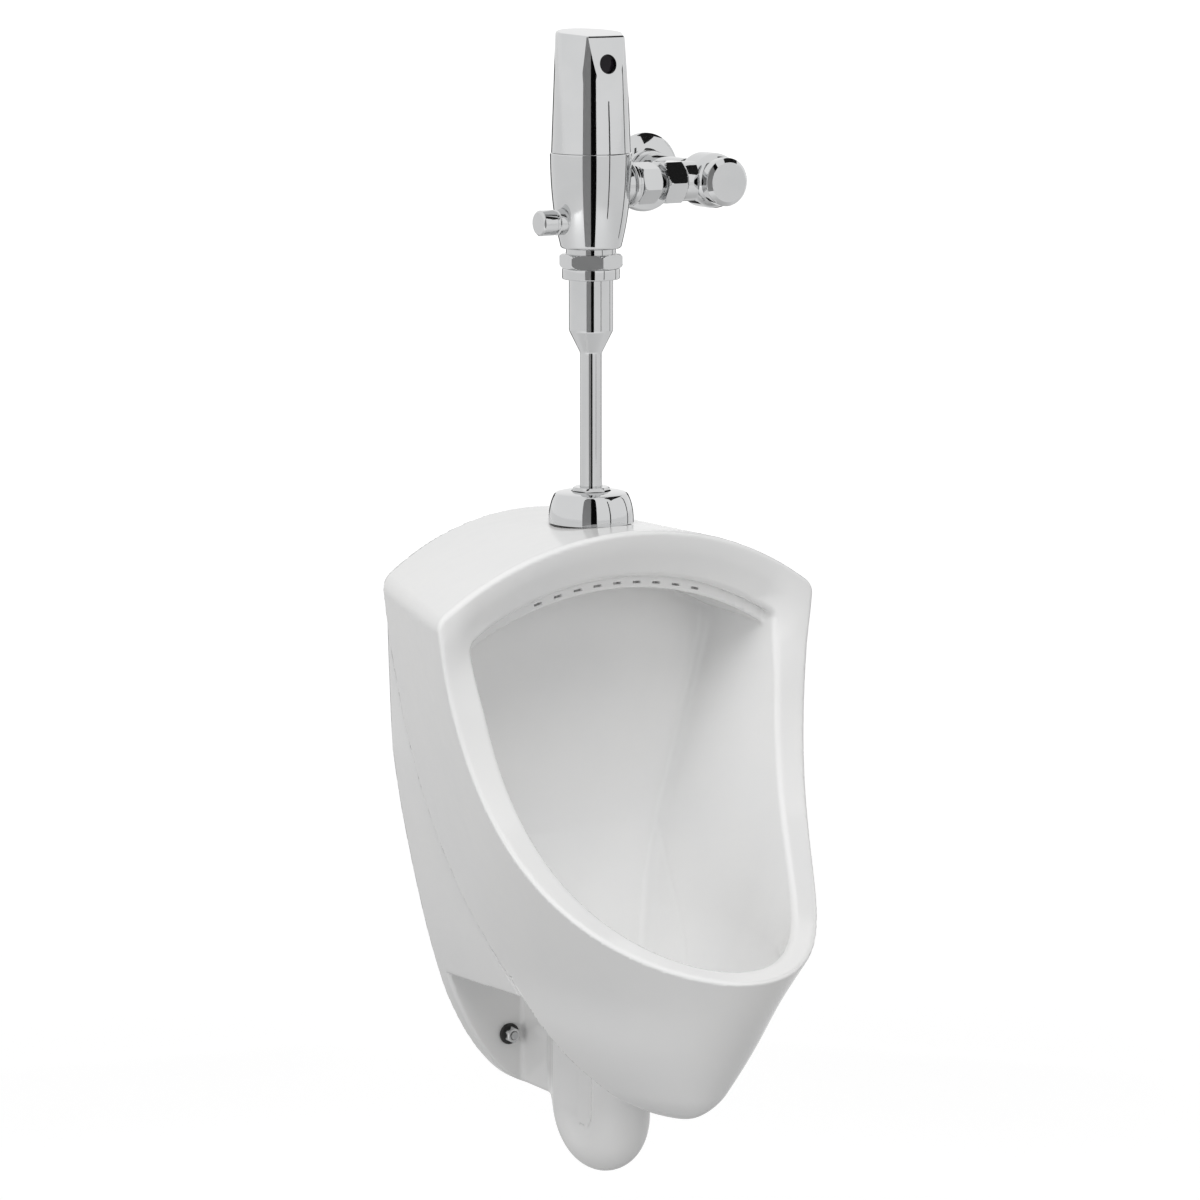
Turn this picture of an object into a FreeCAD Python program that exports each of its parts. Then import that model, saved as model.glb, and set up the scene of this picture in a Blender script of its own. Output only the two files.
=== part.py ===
import FreeCAD, Part
import Sketcher
import math
import os

from FreeCAD import Placement, Rotation, Vector

# Wall-hung urinal with an exposed sensor flush valve, in millimetres.
# The wall is the plane y = 0, the object stands out towards -Y and +Z is up.
# The origin is the centre of the waste outlet on the wall.
# Heights on the china are written as drops below its top, where the spud sits.
# Heights on the valve are written above that top.

SIZES = [
    # China shell
    ("outlet_drop", 425, "waste outlet below the china's top"),
    ("corner_drop", 64, "outer corner of the rim"),
    ("wall_corner_drop", 53, "outer corner of the top at the wall"),
    ("lip_drop", 356, "lip of the bowl"),
    ("keel_drop", 497, "lowest point of the scoop"),
    ("skin_top_width", 149, "half width of the scoop at the wall, at the rim's corner"),
    ("skin_low_width", 109, "half width of the scoop at the wall, at the lip"),
    ("rim_top_width", 193, "half width of the scoop at the rim's depth, at the corner"),
    ("rim_low_width", 116, "half width of the scoop at the rim's depth, at the lip"),
    ("rim_depth", 171, "rim from the wall, at the corner"),
    ("hood_depth", 186, "top of the rim from the wall"),
    ("lip_depth", 380, "lip from the wall"),
    ("keel_depth", 271, "nose from the wall at the lowest point"),
    ("skin_bow", 1.55, "how early the scoop widens above the lip, 1 is even"),
    ("keel_round_drop", 400, "where the scoop starts to round into its keel"),
    ("nose_start", 105, "where the flat sides begin to round into the nose"),
    ("rim_handle", 190, "how long the rim runs steeply down"),
    ("lip_handle", 120, "how long the rim runs nearly level at the lip"),
    ("lip_slope", 17, "slope of the rim at the lip, in degrees"),
    ("crease_drop", 60, "where the scoop's back edge leaves the wall"),
    ("crease_start", 4, "depth of the back edge where it starts"),
    ("box_overlap", 4, "how far the back box reaches into the scoop"),
    ("keel_flat", 3, "flat left under the keel"),
    ("crease_bend_one", 195, "drop of the back edge's first bend"),
    ("crease_bend_one_depth", 32, "depth of the back edge's first bend"),
    ("crease_bend_two", 363, "drop of the back edge's second bend"),
    ("crease_bend_two_depth", 66, "depth of the back edge's second bend"),
    ("rim_round", 6, "rounding of the rim's edges"),
    # Bowl
    ("lip_width", 20, "width of the lip"),
    ("bowl_inset", 4, "bowl side inside the scoop at the wall, at the lip"),
    ("bowl_top_inset", 11.5, "bowl side inside the scoop at the wall, at the rim's corner"),
    ("bowl_flare_loss", 0.07, "how much less the bowl flares than the scoop"),
    ("bowl_flare_share", 0.75, "share of the scoop's flare that the bowl follows"),
    ("bowl_slope_drop", 240, "where the bowl's back starts to slope forward"),
    ("bowl_floor_back", 120, "back of the floor from the wall"),
    ("bowl_back", 70, "back of the bowl from the wall"),
    ("bowl_floor_drop", 445, "floor of the bowl"),
    ("bowl_floor_front", 225, "front of the floor from the wall"),
    ("bowl_corner", 24, "rounding between the bowl's back and sides"),
    ("arch_band", 42.5, "band of the rim over the bowl"),
    ("arch_corner_drop", 87, "corner of the bowl's opening"),
    ("arch_half_width", 154, "half width of the bowl's opening at its corner"),
    ("hood_lip", 22, "depth of the hood's lip in front of the flush channel"),
    ("channel_step", 11, "flush channel's floor below the hood's lip"),
    ("channel_wall", 11, "china round the flush channel"),
    ("channel_floor", 6, "china under and behind the flush channel"),
    ("channel_half_width", 112, "half width of the flush channel"),
    ("slot_width", 11, "width of a wash slot"),
    ("slot_height", 3, "height of a wash slot"),
    ("slot_pitch", 20, "distance between wash slots"),
    ("slot_count", 9, "number of wash slots"),
    # Back box, plates and trap
    ("box_top_width", 146, "half width of the back box at its top"),
    ("box_mid_width", 141, "half width of the back box where it starts to narrow"),
    ("box_mid_drop", 204, "where the back box starts to narrow"),
    ("box_waist_width", 120.6, "half width of the back box at its waist"),
    ("box_waist_drop", 314, "waist of the back box"),
    ("box_low_width", 89.4, "half width of the back box at the bolt recesses"),
    ("box_low_drop", 427, "top of the rounded foot"),
    ("box_foot_width", 41, "half width of the rounded foot"),
    ("box_foot_drop", 503, "height of that width"),
    ("box_end_drop", 522, "lowest point of the back box"),
    ("recess_drop", 414, "ledge over the bolt recesses"),
    ("plate", 19, "plate behind the bolt recesses"),
    ("web_half_width", 22, "half width of the web that carries the trap"),
    ("trap_front", 155, "front leg of the trap from the wall"),
    ("trap_back", 89, "back leg of the trap from the wall"),
    ("trap_drop", 518, "centre of the trap's bend"),
    ("trap_r", 26, "outside of the trap"),
    ("trap_elbow", 38, "bend of the trap towards the wall"),
    ("trap_bore_r", 19, "waterway of the trap"),
    ("trap_web", 17, "half thickness of the web between the trap's legs"),
    ("sump_r", 58, "outside of the sump over the trap"),
    ("sump_drop", 478, "bottom of the sump"),
    ("hollow_half_width", 92, "half width of the hollow back"),
    ("hollow_top_drop", 196, "top of the hollow back"),
    ("hollow_foot_drop", 352, "foot of the hollow back"),
    ("hollow_depth", 44, "depth of the hollow back"),
    ("pad_r", 39, "flat pad under the spud cover"),
    ("strainer_r", 23, "strainer over the drain"),
    ("strainer_thickness", 3, "strainer plate"),
    ("strainer_hole_r", 2.6, "holes of the strainer"),
    ("strainer_ring_r", 13, "ring of strainer holes"),
    ("strainer_hole_count", 8, "holes in that ring"),
    ("strainer_leg", 12, "length of the strainer's collar in the drain"),
    # Waste outlet
    ("outlet_seat_r", 35, "recess for the outlet flange"),
    ("outlet_seat_depth", 12, "depth of that recess"),
    ("outlet_gasket_thickness", 4, "gasket in the recess"),
    ("outlet_r", 28.4, "threaded waste socket"),
    ("outlet_socket", 24, "length of the waste socket"),
    ("outlet_wall", 4, "wall of the waste socket"),
    # Hangers and lower bolts
    ("hanger_half_spacing", 75, "hangers from the centre line"),
    ("hanger_half_width", 22, "half width of a hanger"),
    ("hanger_drop", 112, "top of the hanger pocket"),
    ("hanger_bridge", 18, "height of the china bridge that hangs on the hook"),
    ("hanger_bridge_thickness", 6.5, "thickness of that bridge"),
    ("hanger_pocket_depth", 16, "depth of the hanger pocket"),
    ("hanger_pocket_height", 68, "height of the hanger pocket"),
    ("hanger_steel", 3, "thickness of a hanger"),
    ("hanger_hole_r", 3.5, "screw holes of a hanger"),
    ("hanger_hole_pitch", 20, "distance between a hanger's screw holes"),
    ("hanger_hole_edge", 13, "lower screw hole from the hanger's foot"),
    ("hanger_gap", 1, "play round a hanger"),
    ("bolt_half_spacing", 33, "lower bolts from the centre line"),
    ("bolt_drop", 472, "lower bolts"),
    ("bolt_hole_r", 6.5, "bolt holes in the china"),
    ("bolt_r", 4, "shank of a wall bolt"),
    ("bolt_thread_r", 3.6, "thread of a wall bolt at its nut"),
    ("bolt_in_wall", 40, "wall bolt inside the wall"),
    ("bolt_step", 3, "smooth shank ends this far behind the plate's front"),
    ("bolt_end", 1, "wall bolt beyond its nut"),
    ("washer_r", 9.5, "bolt washer"),
    ("washer_thickness", 3, "thickness of a bolt washer"),
    ("bolt_nut_flats", 12.7, "bolt nut across flats"),
    ("bolt_nut_height", 7, "height of a bolt nut"),
    ("thread_gap", 0.05, "play of a screwed joint"),
    ("loose_gap", 1, "play between pieces that don't guide each other"),
    ("cut_past", 1, "how far a cut passes through a face"),
    # Spud
    ("valve_depth", 106, "valve axis from the wall"),
    ("spud_r", 16, "inlet spud"),
    ("spud_wall", 2.5, "wall of the inlet spud"),
    ("spud_height", 12, "inlet spud above the china"),
    ("spud_flange_r", 25, "flange of the inlet spud under the china"),
    ("spud_flange", 3, "thickness of that flange"),
    ("spud_hole_r", 19, "spud hole in the china"),
    ("spud_gasket_thickness", 3, "gasket under the china"),
    ("spud_locknut_flats", 41, "locknut on the china, across flats"),
    ("spud_locknut_height", 6, "height of the locknut"),
    ("escutcheon_r", 37, "spud cover at its foot"),
    ("escutcheon_top_r", 32.4, "spud cover at its shoulder"),
    ("escutcheon_side", 23.6, "height of the spud cover's side"),
    ("escutcheon_side_round", 70, "rounding of the spud cover's side"),
    ("escutcheon_dome", 3.4, "rise of the spud cover's top"),
    ("escutcheon_wall", 1.5, "wall of the spud cover"),
    ("coupling_flats", 29, "spud coupling nut across flats"),
    ("coupling_r", 19.5, "round skirt of the spud coupling nut"),
    ("coupling_height", 15, "height of that skirt"),
    ("coupling_neck", 8.5, "height of the coupling nut's hexagon"),
    ("slip_gasket_height", 5, "slip gasket in the coupling nut"),
    # Flush tube and vacuum breaker
    ("tube_r", 9.525, "flush tube"),
    ("tube_wall", 1.2, "wall of the flush tube"),
    ("tube_insert", 16, "flush tube below the china's top"),
    ("taper_base", 147.5, "start of the taper above the china"),
    ("taper_height", 19, "height of the taper"),
    ("breaker_r", 19.05, "vacuum breaker tube"),
    ("tube_flange_r", 21.3, "flange at the top of the flush tube"),
    ("tube_flange", 2.5, "thickness of that flange"),
    ("breaker_flange", 1.5, "flange of the vacuum breaker"),
    ("breaker_wall", 1.5, "wall of the vacuum breaker"),
    ("breaker_length", 42, "length of the vacuum breaker"),
    ("breaker_port", 9, "width of the vacuum breaker's air ports"),
    ("breaker_port_drop", 31.5, "foot of the air ports below the tube's flange"),
    ("sleeve_wall", 1.2, "wall of the rubber sleeve"),
    ("sleeve_flange", 2, "flange of the rubber sleeve"),
    ("sleeve_length", 48, "length of the rubber sleeve"),
    ("slide_gap", 0.3, "play between pieces that slide"),
    # Outlet coupling nut
    ("nut_base", 211, "foot of the outlet coupling nut above the china"),
    ("nut_skirt_r", 24.85, "skirt of the nut"),
    ("nut_skirt", 9.2, "height of the skirt"),
    ("nut_hex", 12.8, "height of the hexagon"),
    ("nut_flats", 47.5, "hexagon across flats"),
    ("nut_floor", 11, "floor of the nut under the tube flange"),
    ("hex_chamfer", 1.5, "chamfer of a hexagon's corners"),
    # Valve body
    ("body_neck", 4.5, "neck between nut and barrel"),
    ("spigot_r", 21.5, "threaded spigot of the barrel"),
    ("body_foot_r", 26, "barrel at its foot"),
    ("body_foot_round", 3, "rounding of the barrel's foot"),
    ("body_seam_r", 35.2, "barrel at the seam"),
    ("body_height", 82, "height of the barrel"),
    ("body_side_round", 348, "rounding of the barrel's side"),
    ("outlet_bore_r", 13, "waterway down the barrel"),
    ("riser_r", 16.5, "riser under the main seat"),
    ("chamber_r", 25.5, "supply chamber"),
    ("chamber_floor", 274, "floor of the supply chamber above the china"),
    ("seat_height", 300, "main seat above the china"),
    ("seat_ring", 3, "height of the seat ring"),
    ("bonnet_seat", 306, "seat of the bonnet's skirt above the china"),
    ("bonnet_bore_r", 28.6, "bore for the bonnet"),
    ("supply_height", 291, "supply above the china"),
    ("inlet_boss_r", 16.6, "inlet boss"),
    ("inlet_boss", 44, "end of the inlet boss from the valve axis"),
    ("inlet_ring_r", 19.5, "ring on the inlet boss"),
    ("inlet_ring", 4, "width of that ring"),
    ("inlet_bore_r", 10.5, "supply waterway"),
    ("inlet_bore_end", 20, "inner end of the supply waterway from the valve axis"),
    # Piston and bonnet
    ("piston_r", 24, "flush piston"),
    ("piston_foot_r", 17, "foot of the flush piston"),
    ("piston_foot", 4.5, "height of the piston's foot"),
    ("piston_height", 14.5, "height of the piston's crown"),
    ("piston_seal", 2.7, "seal under the piston"),
    ("cup_groove_r", 21, "groove of the piston's cup seal"),
    ("cup_groove", 4, "height of that groove"),
    ("bonnet_skirt_gap", 0.3, "play of the bonnet's skirt"),
    ("bonnet_flange_r", 31, "bonnet flange"),
    ("bonnet_flange", 3.5, "thickness of the bonnet flange"),
    ("bonnet_wall", 3, "wall of the bonnet's dome"),
    ("bonnet_dome", 17.5, "height of the bonnet's dome over the seam"),
    ("o_ring_groove", 2.2, "height of the bonnet's ring groove"),
    ("o_ring_r", 0.95, "cord radius of the bonnet's ring"),
    ("o_ring_depth", 1.9, "depth of the bonnet's ring groove"),
    # Electronics
    ("coil_r", 10.5, "solenoid"),
    ("coil_height", 24, "height of the solenoid"),
    ("coil_offset", 12, "solenoid in front of the valve axis"),
    ("coil_bore", 20, "depth of the solenoid's bore"),
    ("plunger_r", 4, "solenoid plunger"),
    ("plunger_height", 14, "height of the plunger"),
    ("module_half_width", 14, "half width of the sensor module"),
    ("module_front", 20, "front of the sensor module from the valve axis"),
    ("module_depth", 15, "depth of the sensor module"),
    ("module_height", 48, "height of the sensor module"),
    ("module_round", 3, "rounding of the sensor module"),
    ("window_r", 8, "sensor window"),
    ("window_thickness", 3.5, "thickness of the sensor window"),
    ("window_drop", 13, "sensor window below the module's top"),
    ("window_gap", 0.3, "play round the sensor window"),
    ("battery_width", 35, "width of the battery"),
    ("battery_depth", 19.5, "depth of the battery"),
    ("battery_height", 36, "height of the battery"),
    ("battery_back", 1, "battery behind the valve axis"),
    ("holder_wall", 1.5, "wall of the battery holder"),
    ("holder_height", 10, "height of the battery holder"),
    ("holder_gap", 0.2, "play round the battery"),
    # Sensor cover
    ("cover_foot_r", 34.2, "sensor cover at the seam"),
    ("cover_top_r", 30.2, "sensor cover at its top"),
    ("cover_height", 102, "height of the sensor cover"),
    ("cover_wall", 2.5, "wall of the sensor cover"),
    ("cover_top_slope", 4.8, "slope of the sensor cover's top, in degrees"),
    ("facet_top", 23.9, "front facet from the axis at its top"),
    ("facet_slope", 8.4, "lean of the front facet, in degrees"),
    ("cheek_top", 27.4, "side facets from the axis at their top"),
    ("cheek_slope", 4.4, "lean of the side facets, in degrees"),
    ("cheek_turn", 63, "turn of the side facets from the front, in degrees"),
    ("cover_screw_r", 2, "cover screw"),
    ("cover_screw_height", 7, "cover screw above the seam"),
    # Override button
    ("button_height", 261, "override button above the china"),
    ("button_r", 11, "override button"),
    ("button_face", 53, "button's face from the valve axis"),
    ("button_round", 1.6, "rounding of the button's face"),
    ("button_inner", 27, "inner end of the button's barrel from the axis"),
    ("button_floor", 20, "floor of the button's recess from the axis"),
    ("stem_r", 4, "button stem"),
    ("stem_end", 14.5, "end of the stem from the axis"),
    ("stem_gap", 0.1, "play round the stem"),
    ("stem_seal_r", 7, "seal round the stem"),
    ("stem_seal", 2.5, "thickness of that seal"),
    # Tailpiece and coupling
    ("tail_r", 13, "tailpiece"),
    ("tail_collar_flats", 32, "wrench flats of the tailpiece"),
    ("tail_collar", 19, "length of the wrench flats"),
    ("tail_end", 96, "end of the tailpiece from the valve axis"),
    ("tail_thread", 10, "tailpiece screwed into the inlet boss"),
    ("tail_nut_base", 68, "coupling nut from the valve axis"),
    ("tail_nut", 20, "length of the coupling nut"),
    ("tail_nut_flats", 35.5, "coupling nut across flats"),
    ("tail_nut_lid", 5, "end wall of the coupling nut"),
    ("stop_thread_r", 15.5, "threaded collar of the stop"),
    ("stop_thread", 8, "length of that collar inside the nut"),
    ("lock_ring_r", 14.6, "lock ring on the tailpiece"),
    ("lock_ring", 2, "width of the lock ring"),
    ("lock_groove_r", 12.2, "groove of the lock ring"),
    ("tail_ring_r", 0.9, "cord radius of the tailpiece's ring"),
    ("tail_ring_groove_r", 11.4, "groove of the tailpiece's ring"),
    ("tail_ring_groove", 2.6, "width of that groove"),
    # Control stop
    ("stop_offset", 120.65, "stop from the valve axis"),
    ("stop_collar_r", 17.5, "round collar of the stop"),
    ("stop_r", 24, "stop body"),
    ("stop_back", 40, "back of the stop body behind the valve axis"),
    ("stop_back_r", 15.2, "inlet neck of the stop body"),
    ("stop_front", 20, "front of the stop body before the valve axis"),
    ("stop_middle", 8, "half length of the stop body's widest part"),
    ("stop_round", 20, "rounding of the stop body's shoulders"),
    ("stop_inlet_r", 12.2, "threaded inlet of the stop"),
    ("stop_seat_r", 9, "seat of the stop"),
    ("stop_seat", 6, "wall of the stop's seat"),
    ("stop_seat_depth", 16, "stop's seat behind the valve axis"),
    ("stop_chamber_r", 15.5, "chamber of the stop"),
    ("stop_nose_r", 18, "threaded nose of the stop"),
    ("stop_nose", 5, "length of the threaded nose"),
    ("gland", 9, "length of the stop's gland"),
    ("gland_head", 1.5, "head of the gland outside the nose"),
    ("spindle_r", 5, "adjusting spindle"),
    ("spindle_head", 3.5, "spindle beyond the gland"),
    ("spindle_low", 4, "inner end of the spindle before the valve axis"),
    ("spindle_collar_r", 7.5, "collar of the spindle"),
    ("spindle_collar", 3.7, "length of that collar"),
    ("spindle_gap", 0.06, "play round the spindle"),
    ("spindle_slot", 1.4, "screwdriver slot"),
    ("plug_r", 13, "stop plunger"),
    ("plug", 8, "length of the stop plunger"),
    ("plug_stem_r", 2.8, "stem of the stop plunger"),
    ("plug_seal", 2, "seal on the plunger"),
    ("plug_travel", 7, "stroke of the plunger"),
    ("cap_r", 21, "stop cap"),
    ("cap_face_r", 17.2, "face of the stop cap"),
    ("cap_length", 12, "length of the stop cap"),
    ("cap_bevel", 3, "bevel of the stop cap"),
    ("cap_wall", 2, "wall of the stop cap"),
    # Supply cover
    ("cover_tube_wall", 1, "wall of the cover tube"),
    ("cover_tube_overlap", 6, "cover tube over the stop's neck"),
    ("flange_r", 35, "wall flange"),
    ("flange_depth", 14, "depth of the wall flange"),
    ("flange_rim", 3, "rim of the wall flange"),
    ("flange_hub_r", 20, "hub of the wall flange"),
    ("flange_hub", 5.5, "length of that hub"),
    ("flange_wall", 1.5, "wall of the flange"),
    ("flange_screw_r", 1.5, "set screw of the flange"),
]

doc = FreeCAD.newDocument("urinal")
sheet = doc.addObject("Spreadsheet::Sheet", "sizes")
for row, (alias, value, meaning) in enumerate(SIZES, start=1):
    sheet.set("A%d" % row, str(value))
    sheet.setAlias("A%d" % row, alias)
    sheet.set("B%d" % row, meaning)
doc.recompute()


class Size:
    """A length together with the sheet formula that it comes from."""

    def __init__(self, value, text):
        self.value = float(value)
        self.text = text

    def combined(self, sign, other, swap=False):
        first, second = (of(other), self) if swap else (self, of(other))
        results = {
            "+": lambda a, b: a + b,
            "-": lambda a, b: a - b,
            "*": lambda a, b: a * b,
            "/": lambda a, b: a / b,
        }
        value = results[sign](first.value, second.value)
        return Size(value, "(%s %s %s)" % (first.text, sign, second.text))

    def __add__(self, other):
        return self.combined("+", other)

    def __radd__(self, other):
        return self.combined("+", other, True)

    def __sub__(self, other):
        return self.combined("-", other)

    def __rsub__(self, other):
        return self.combined("-", other, True)

    def __mul__(self, other):
        return self.combined("*", other)

    def __rmul__(self, other):
        return self.combined("*", other, True)

    def __truediv__(self, other):
        return self.combined("/", other)

    def __neg__(self):
        return 0 - self


def of(number):
    """A Size from a Size or a plain number."""
    return number if isinstance(number, Size) else Size(number, repr(number))


class Sheet:
    """Reads the sheet: S.tube_r is a Size that stays bound to its cell."""

    def __getattr__(self, alias):
        return Size(sheet.get(alias), "sizes." + alias)


class Plain:
    """Reads the sheet as plain numbers, for shapes that are worked out here."""

    def __getattr__(self, alias):
        return float(sheet.get(alias))


S = Sheet()
N = Plain()
UP = Vector(0, 0, 1)
RIGHT = Vector(1, 0, 0)
LEFT = Vector(-1, 0, 0)
FRONT = Vector(0, -1, 0)
BACK = Vector(0, 1, 0)
PARTS = []


def place(item, at, axis=UP):
    """Puts an object at three sizes, with its own Z along the axis."""
    item.Placement = Placement(Vector(*[of(a).value for a in at]), Rotation(UP, axis))
    for letter, size in zip("xyz", at):
        item.setExpression("Placement.Base." + letter, of(size).text)
    return item


def bind(item, **sizes):
    """Binds an object's properties to sheet formulas."""
    for prop, size in sizes.items():
        setattr(item, prop, of(size).value)
        item.setExpression(prop, of(size).text)
    return item


def finished(item, label):
    """Marks an object as a piece of the urinal."""
    item.Label = label
    PARTS.append(item)
    return item


def feature(name, shape):
    item = doc.addObject("Part::Feature", name)
    item.Shape = shape
    return item


def fuse(name, *items):
    item = doc.addObject("Part::MultiFuse", name)
    item.Shapes = list(items)
    item.Refine = False
    return item


def common(name, *items):
    item = doc.addObject("Part::MultiCommon", name)
    item.Shapes = list(items)
    return item


def cut(name, base, *tools):
    item = doc.addObject("Part::Cut", name)
    item.Base = base
    item.Tool = tools[0] if len(tools) == 1 else fuse(name + "_tools", *tools)
    item.Refine = False
    return item


def group(name, *items):
    item = doc.addObject("Part::Compound", name)
    item.Links = list(items)
    return item


def cylinder(name, radius, height, at, axis=UP):
    item = bind(doc.addObject("Part::Cylinder", name), Radius=radius, Height=height)
    return place(item, at, axis)


def box(name, length, width, height, at):
    item = doc.addObject("Part::Box", name)
    return place(bind(item, Length=length, Width=width, Height=height), at)


def hexagon(name, flats, height, at, axis=UP):
    """A hexagon bar with the given width across its flats."""
    item = doc.addObject("Part::Prism", name)
    item.Polygon = 6
    return place(bind(item, Circumradius=flats / math.sqrt(3), Height=height), at, axis)


def torus(name, ring_r, cord_r, at, axis=UP):
    item = bind(doc.addObject("Part::Torus", name), Radius1=ring_r, Radius2=cord_r)
    return place(item, at, axis)


def draw(body, name, plane, outline):
    """A closed sketch through (across, up) sizes. A third size makes the next side an arc of that
    radius, which bulges to the right of the way that the outline runs."""
    sketch = body.newObject("Sketcher::SketchObject", name)
    support = next(f for f in body.Origin.OriginFeatures if f.Role == plane)
    sketch.AttachmentSupport = [(support, "")]
    sketch.MapMode = "FlatFace"
    corners = [Vector(of(p[0]).value, of(p[1]).value, 0) for p in outline]
    count = len(outline)
    for i, corner in enumerate(corners):
        following = corners[(i + 1) % count]
        if len(outline[i]) == 3:
            chord = following - corner
            radius = of(outline[i][2]).value
            inward = Vector(-chord.y, chord.x, 0).normalize()
            height = math.sqrt(radius**2 - chord.Length**2 / 4)
            circle = Part.Circle((corner + following) * 0.5 + inward * height, UP, radius)
            arc = Part.ArcOfCircle(circle, circle.parameter(corner), circle.parameter(following))
            sketch.addGeometry(arc, False)
        else:
            sketch.addGeometry(Part.LineSegment(corner, following), False)
    for i in range(count):
        sketch.addConstraint(Sketcher.Constraint("Coincident", i, 2, (i + 1) % count, 1))
    for i, point in enumerate(outline):
        pin(sketch, i, "DistanceX", of(point[0]))
        pin(sketch, i, "DistanceY", of(point[1]))
        if len(point) == 3:
            number = sketch.addConstraint(Sketcher.Constraint("Radius", i, of(point[2]).value))
            sketch.setExpression("Constraints[%d]" % number, of(point[2]).text)
    return sketch


def pin(sketch, side, kind, size):
    """Holds one coordinate of a side's first point at a size."""
    if size.text == "0":
        axis = -2 if kind == "DistanceX" else -1
        sketch.addConstraint(Sketcher.Constraint("PointOnObject", side, 1, axis))
        return
    number = sketch.addConstraint(Sketcher.Constraint(kind, -1, 1, side, 1, size.value))
    sketch.setExpression("Constraints[%d]" % number, size.text)


def turned(name, outline, at, axis=UP):
    """A turned piece: an outline of (radius, height) sizes round the axis."""
    body = doc.addObject("PartDesign::Body", name)
    sketch = draw(body, name + "_outline", "XZ_Plane", outline)
    turn = body.newObject("PartDesign::Revolution", name + "_turn")
    turn.Profile = sketch
    turn.ReferenceAxis = (sketch, ["V_Axis"])
    turn.Angle = 360
    return place(body, at, axis)


def padded(name, plane, outline, length, at, middle=False):
    """A piece of even thickness: an outline on one of the main planes."""
    body = doc.addObject("PartDesign::Body", name)
    sketch = draw(body, name + "_outline", plane, outline)
    pad = body.newObject("PartDesign::Pad", name + "_pad")
    pad.Profile = sketch
    pad.Midplane = middle
    bind(pad, Length=length)
    return place(body, at)


def chamfered_hexagon(name, flats, height, at, axis=UP):
    """A hexagon with its corners turned off at both ends."""
    corner = flats / math.sqrt(3)
    low = corner - S.hex_chamfer
    rounds = turned(
        name + "_rounds",
        [
            (0, 0),
            (low, 0),
            (corner, S.hex_chamfer / 2),
            (corner, height - S.hex_chamfer / 2),
            (low, height),
            (0, height),
        ],
        at,
        axis,
    )
    return common(name, hexagon(name + "_bar", flats, height, at, axis), rounds)


# China shell: level outlines of the scoop and of the bowl

TRAIL_STEPS = 40
OUTLINE_POINTS = 10
ARCH_PAST_CORNER = 1.3
ARCH_PART_OF_RADIUS = 0.97


def level(drop):
    """Height of a point that lies the given drop below the china's top."""
    return N.outlet_drop - drop


def bow(drop):
    """How far a level lies from the lip, 0, to the rim's corner, 1, slowing towards the top."""
    rise = (N.lip_drop - drop) / (N.lip_drop - N.corner_drop)
    return N.skin_bow * rise + (1 - N.skin_bow) * rise**2


def skin_width(drop):
    return N.skin_low_width + (N.skin_top_width - N.skin_low_width) * bow(drop)


def skin_flare(drop):
    """How much the scoop widens for each millimetre away from the wall."""
    low = (N.rim_low_width - N.skin_low_width) / N.rim_depth
    top = (N.rim_top_width - N.skin_top_width) / N.rim_depth
    return max(0.0, low + (top - low) * bow(drop))


def skin_nose(drop):
    """Depth of the scoop's straight nose line."""
    slope = (N.lip_depth - N.keel_depth) / (N.keel_drop - N.lip_drop)
    return N.lip_depth + slope * (N.lip_drop - drop)


def closing(drop, start, end):
    """Draws a level in towards the bottom, along a quarter of an ellipse."""
    return math.sqrt(1 - max(0.0, (drop - start) / (end - start)) ** 2)


def spaced(trail, count):
    """Points at equal distances along a trail of close points."""
    lengths = [0.0]
    for a, b in zip(trail, trail[1:]):
        lengths.append(lengths[-1] + a.distanceToPoint(b))
    points = [trail[0]]
    for i in range(1, count - 1):
        goal = lengths[-1] * i / (count - 1)
        after = next(k for k, length in enumerate(lengths) if length >= goal)
        part = (goal - lengths[after - 1]) / (lengths[after] - lengths[after - 1])
        points.append(trail[after - 1] + (trail[after] - trail[after - 1]) * part)
    return points + [trail[-1]]


def level_outline(drop, half_width, flare, back, start, nose, corner=0):
    """A closed outline with a flat back, flared sides and a round nose."""

    def point(depth, part=1):
        return Vector((half_width + flare * depth) * part, -depth, level(drop))

    def mirrored(p):
        return Vector(-p.x, p.y, p.z)

    first = back + corner
    trail = [point(first + (start - first) * i / TRAIL_STEPS) for i in range(TRAIL_STEPS)]
    for i in range(TRAIL_STEPS + 1):
        turn = math.pi / 2 * i / TRAIL_STEPS
        trail.append(point(start + (nose - start) * math.sin(turn), math.cos(turn)))
    right = spaced(trail, OUTLINE_POINTS)
    left = [mirrored(p) for p in reversed(right)]
    round_nose = right + left[1:]
    even = [float(i) for i in range(len(round_nose))]
    side = Part.BSplineCurve()
    side.interpolate(
        Points=round_nose,
        Parameters=even,
        InitialTangent=Vector(flare, -1, 0),
        FinalTangent=Vector(flare, 1, 0),
    )
    edges = [side.toShape()]
    if corner:
        knee = corner * (1 - math.sqrt(0.5))
        middle = point(back + knee) - RIGHT * knee
        inner = point(back) - RIGHT * corner
        edges.append(Part.Arc(left[-1], mirrored(middle), mirrored(inner)).toShape())
        edges.append(Part.makeLine(mirrored(inner), inner))
        edges.append(Part.Arc(inner, middle, right[0]).toShape())
    else:
        edges.append(Part.makeLine(left[-1], right[0]))
    return Part.Wire(edges)


def level_drops(foot):
    """Levels from above the top down to the foot, closer together where the shape closes in."""
    drops = [-N.corner_drop / 3]
    for i in range(6):
        drops.append(N.corner_drop + (N.lip_drop - N.corner_drop) * i / 5)
    for i in range(1, 7):
        drops.append(N.lip_drop + (foot - N.lip_drop) * math.sin(math.pi / 12 * i))
    return drops


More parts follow.
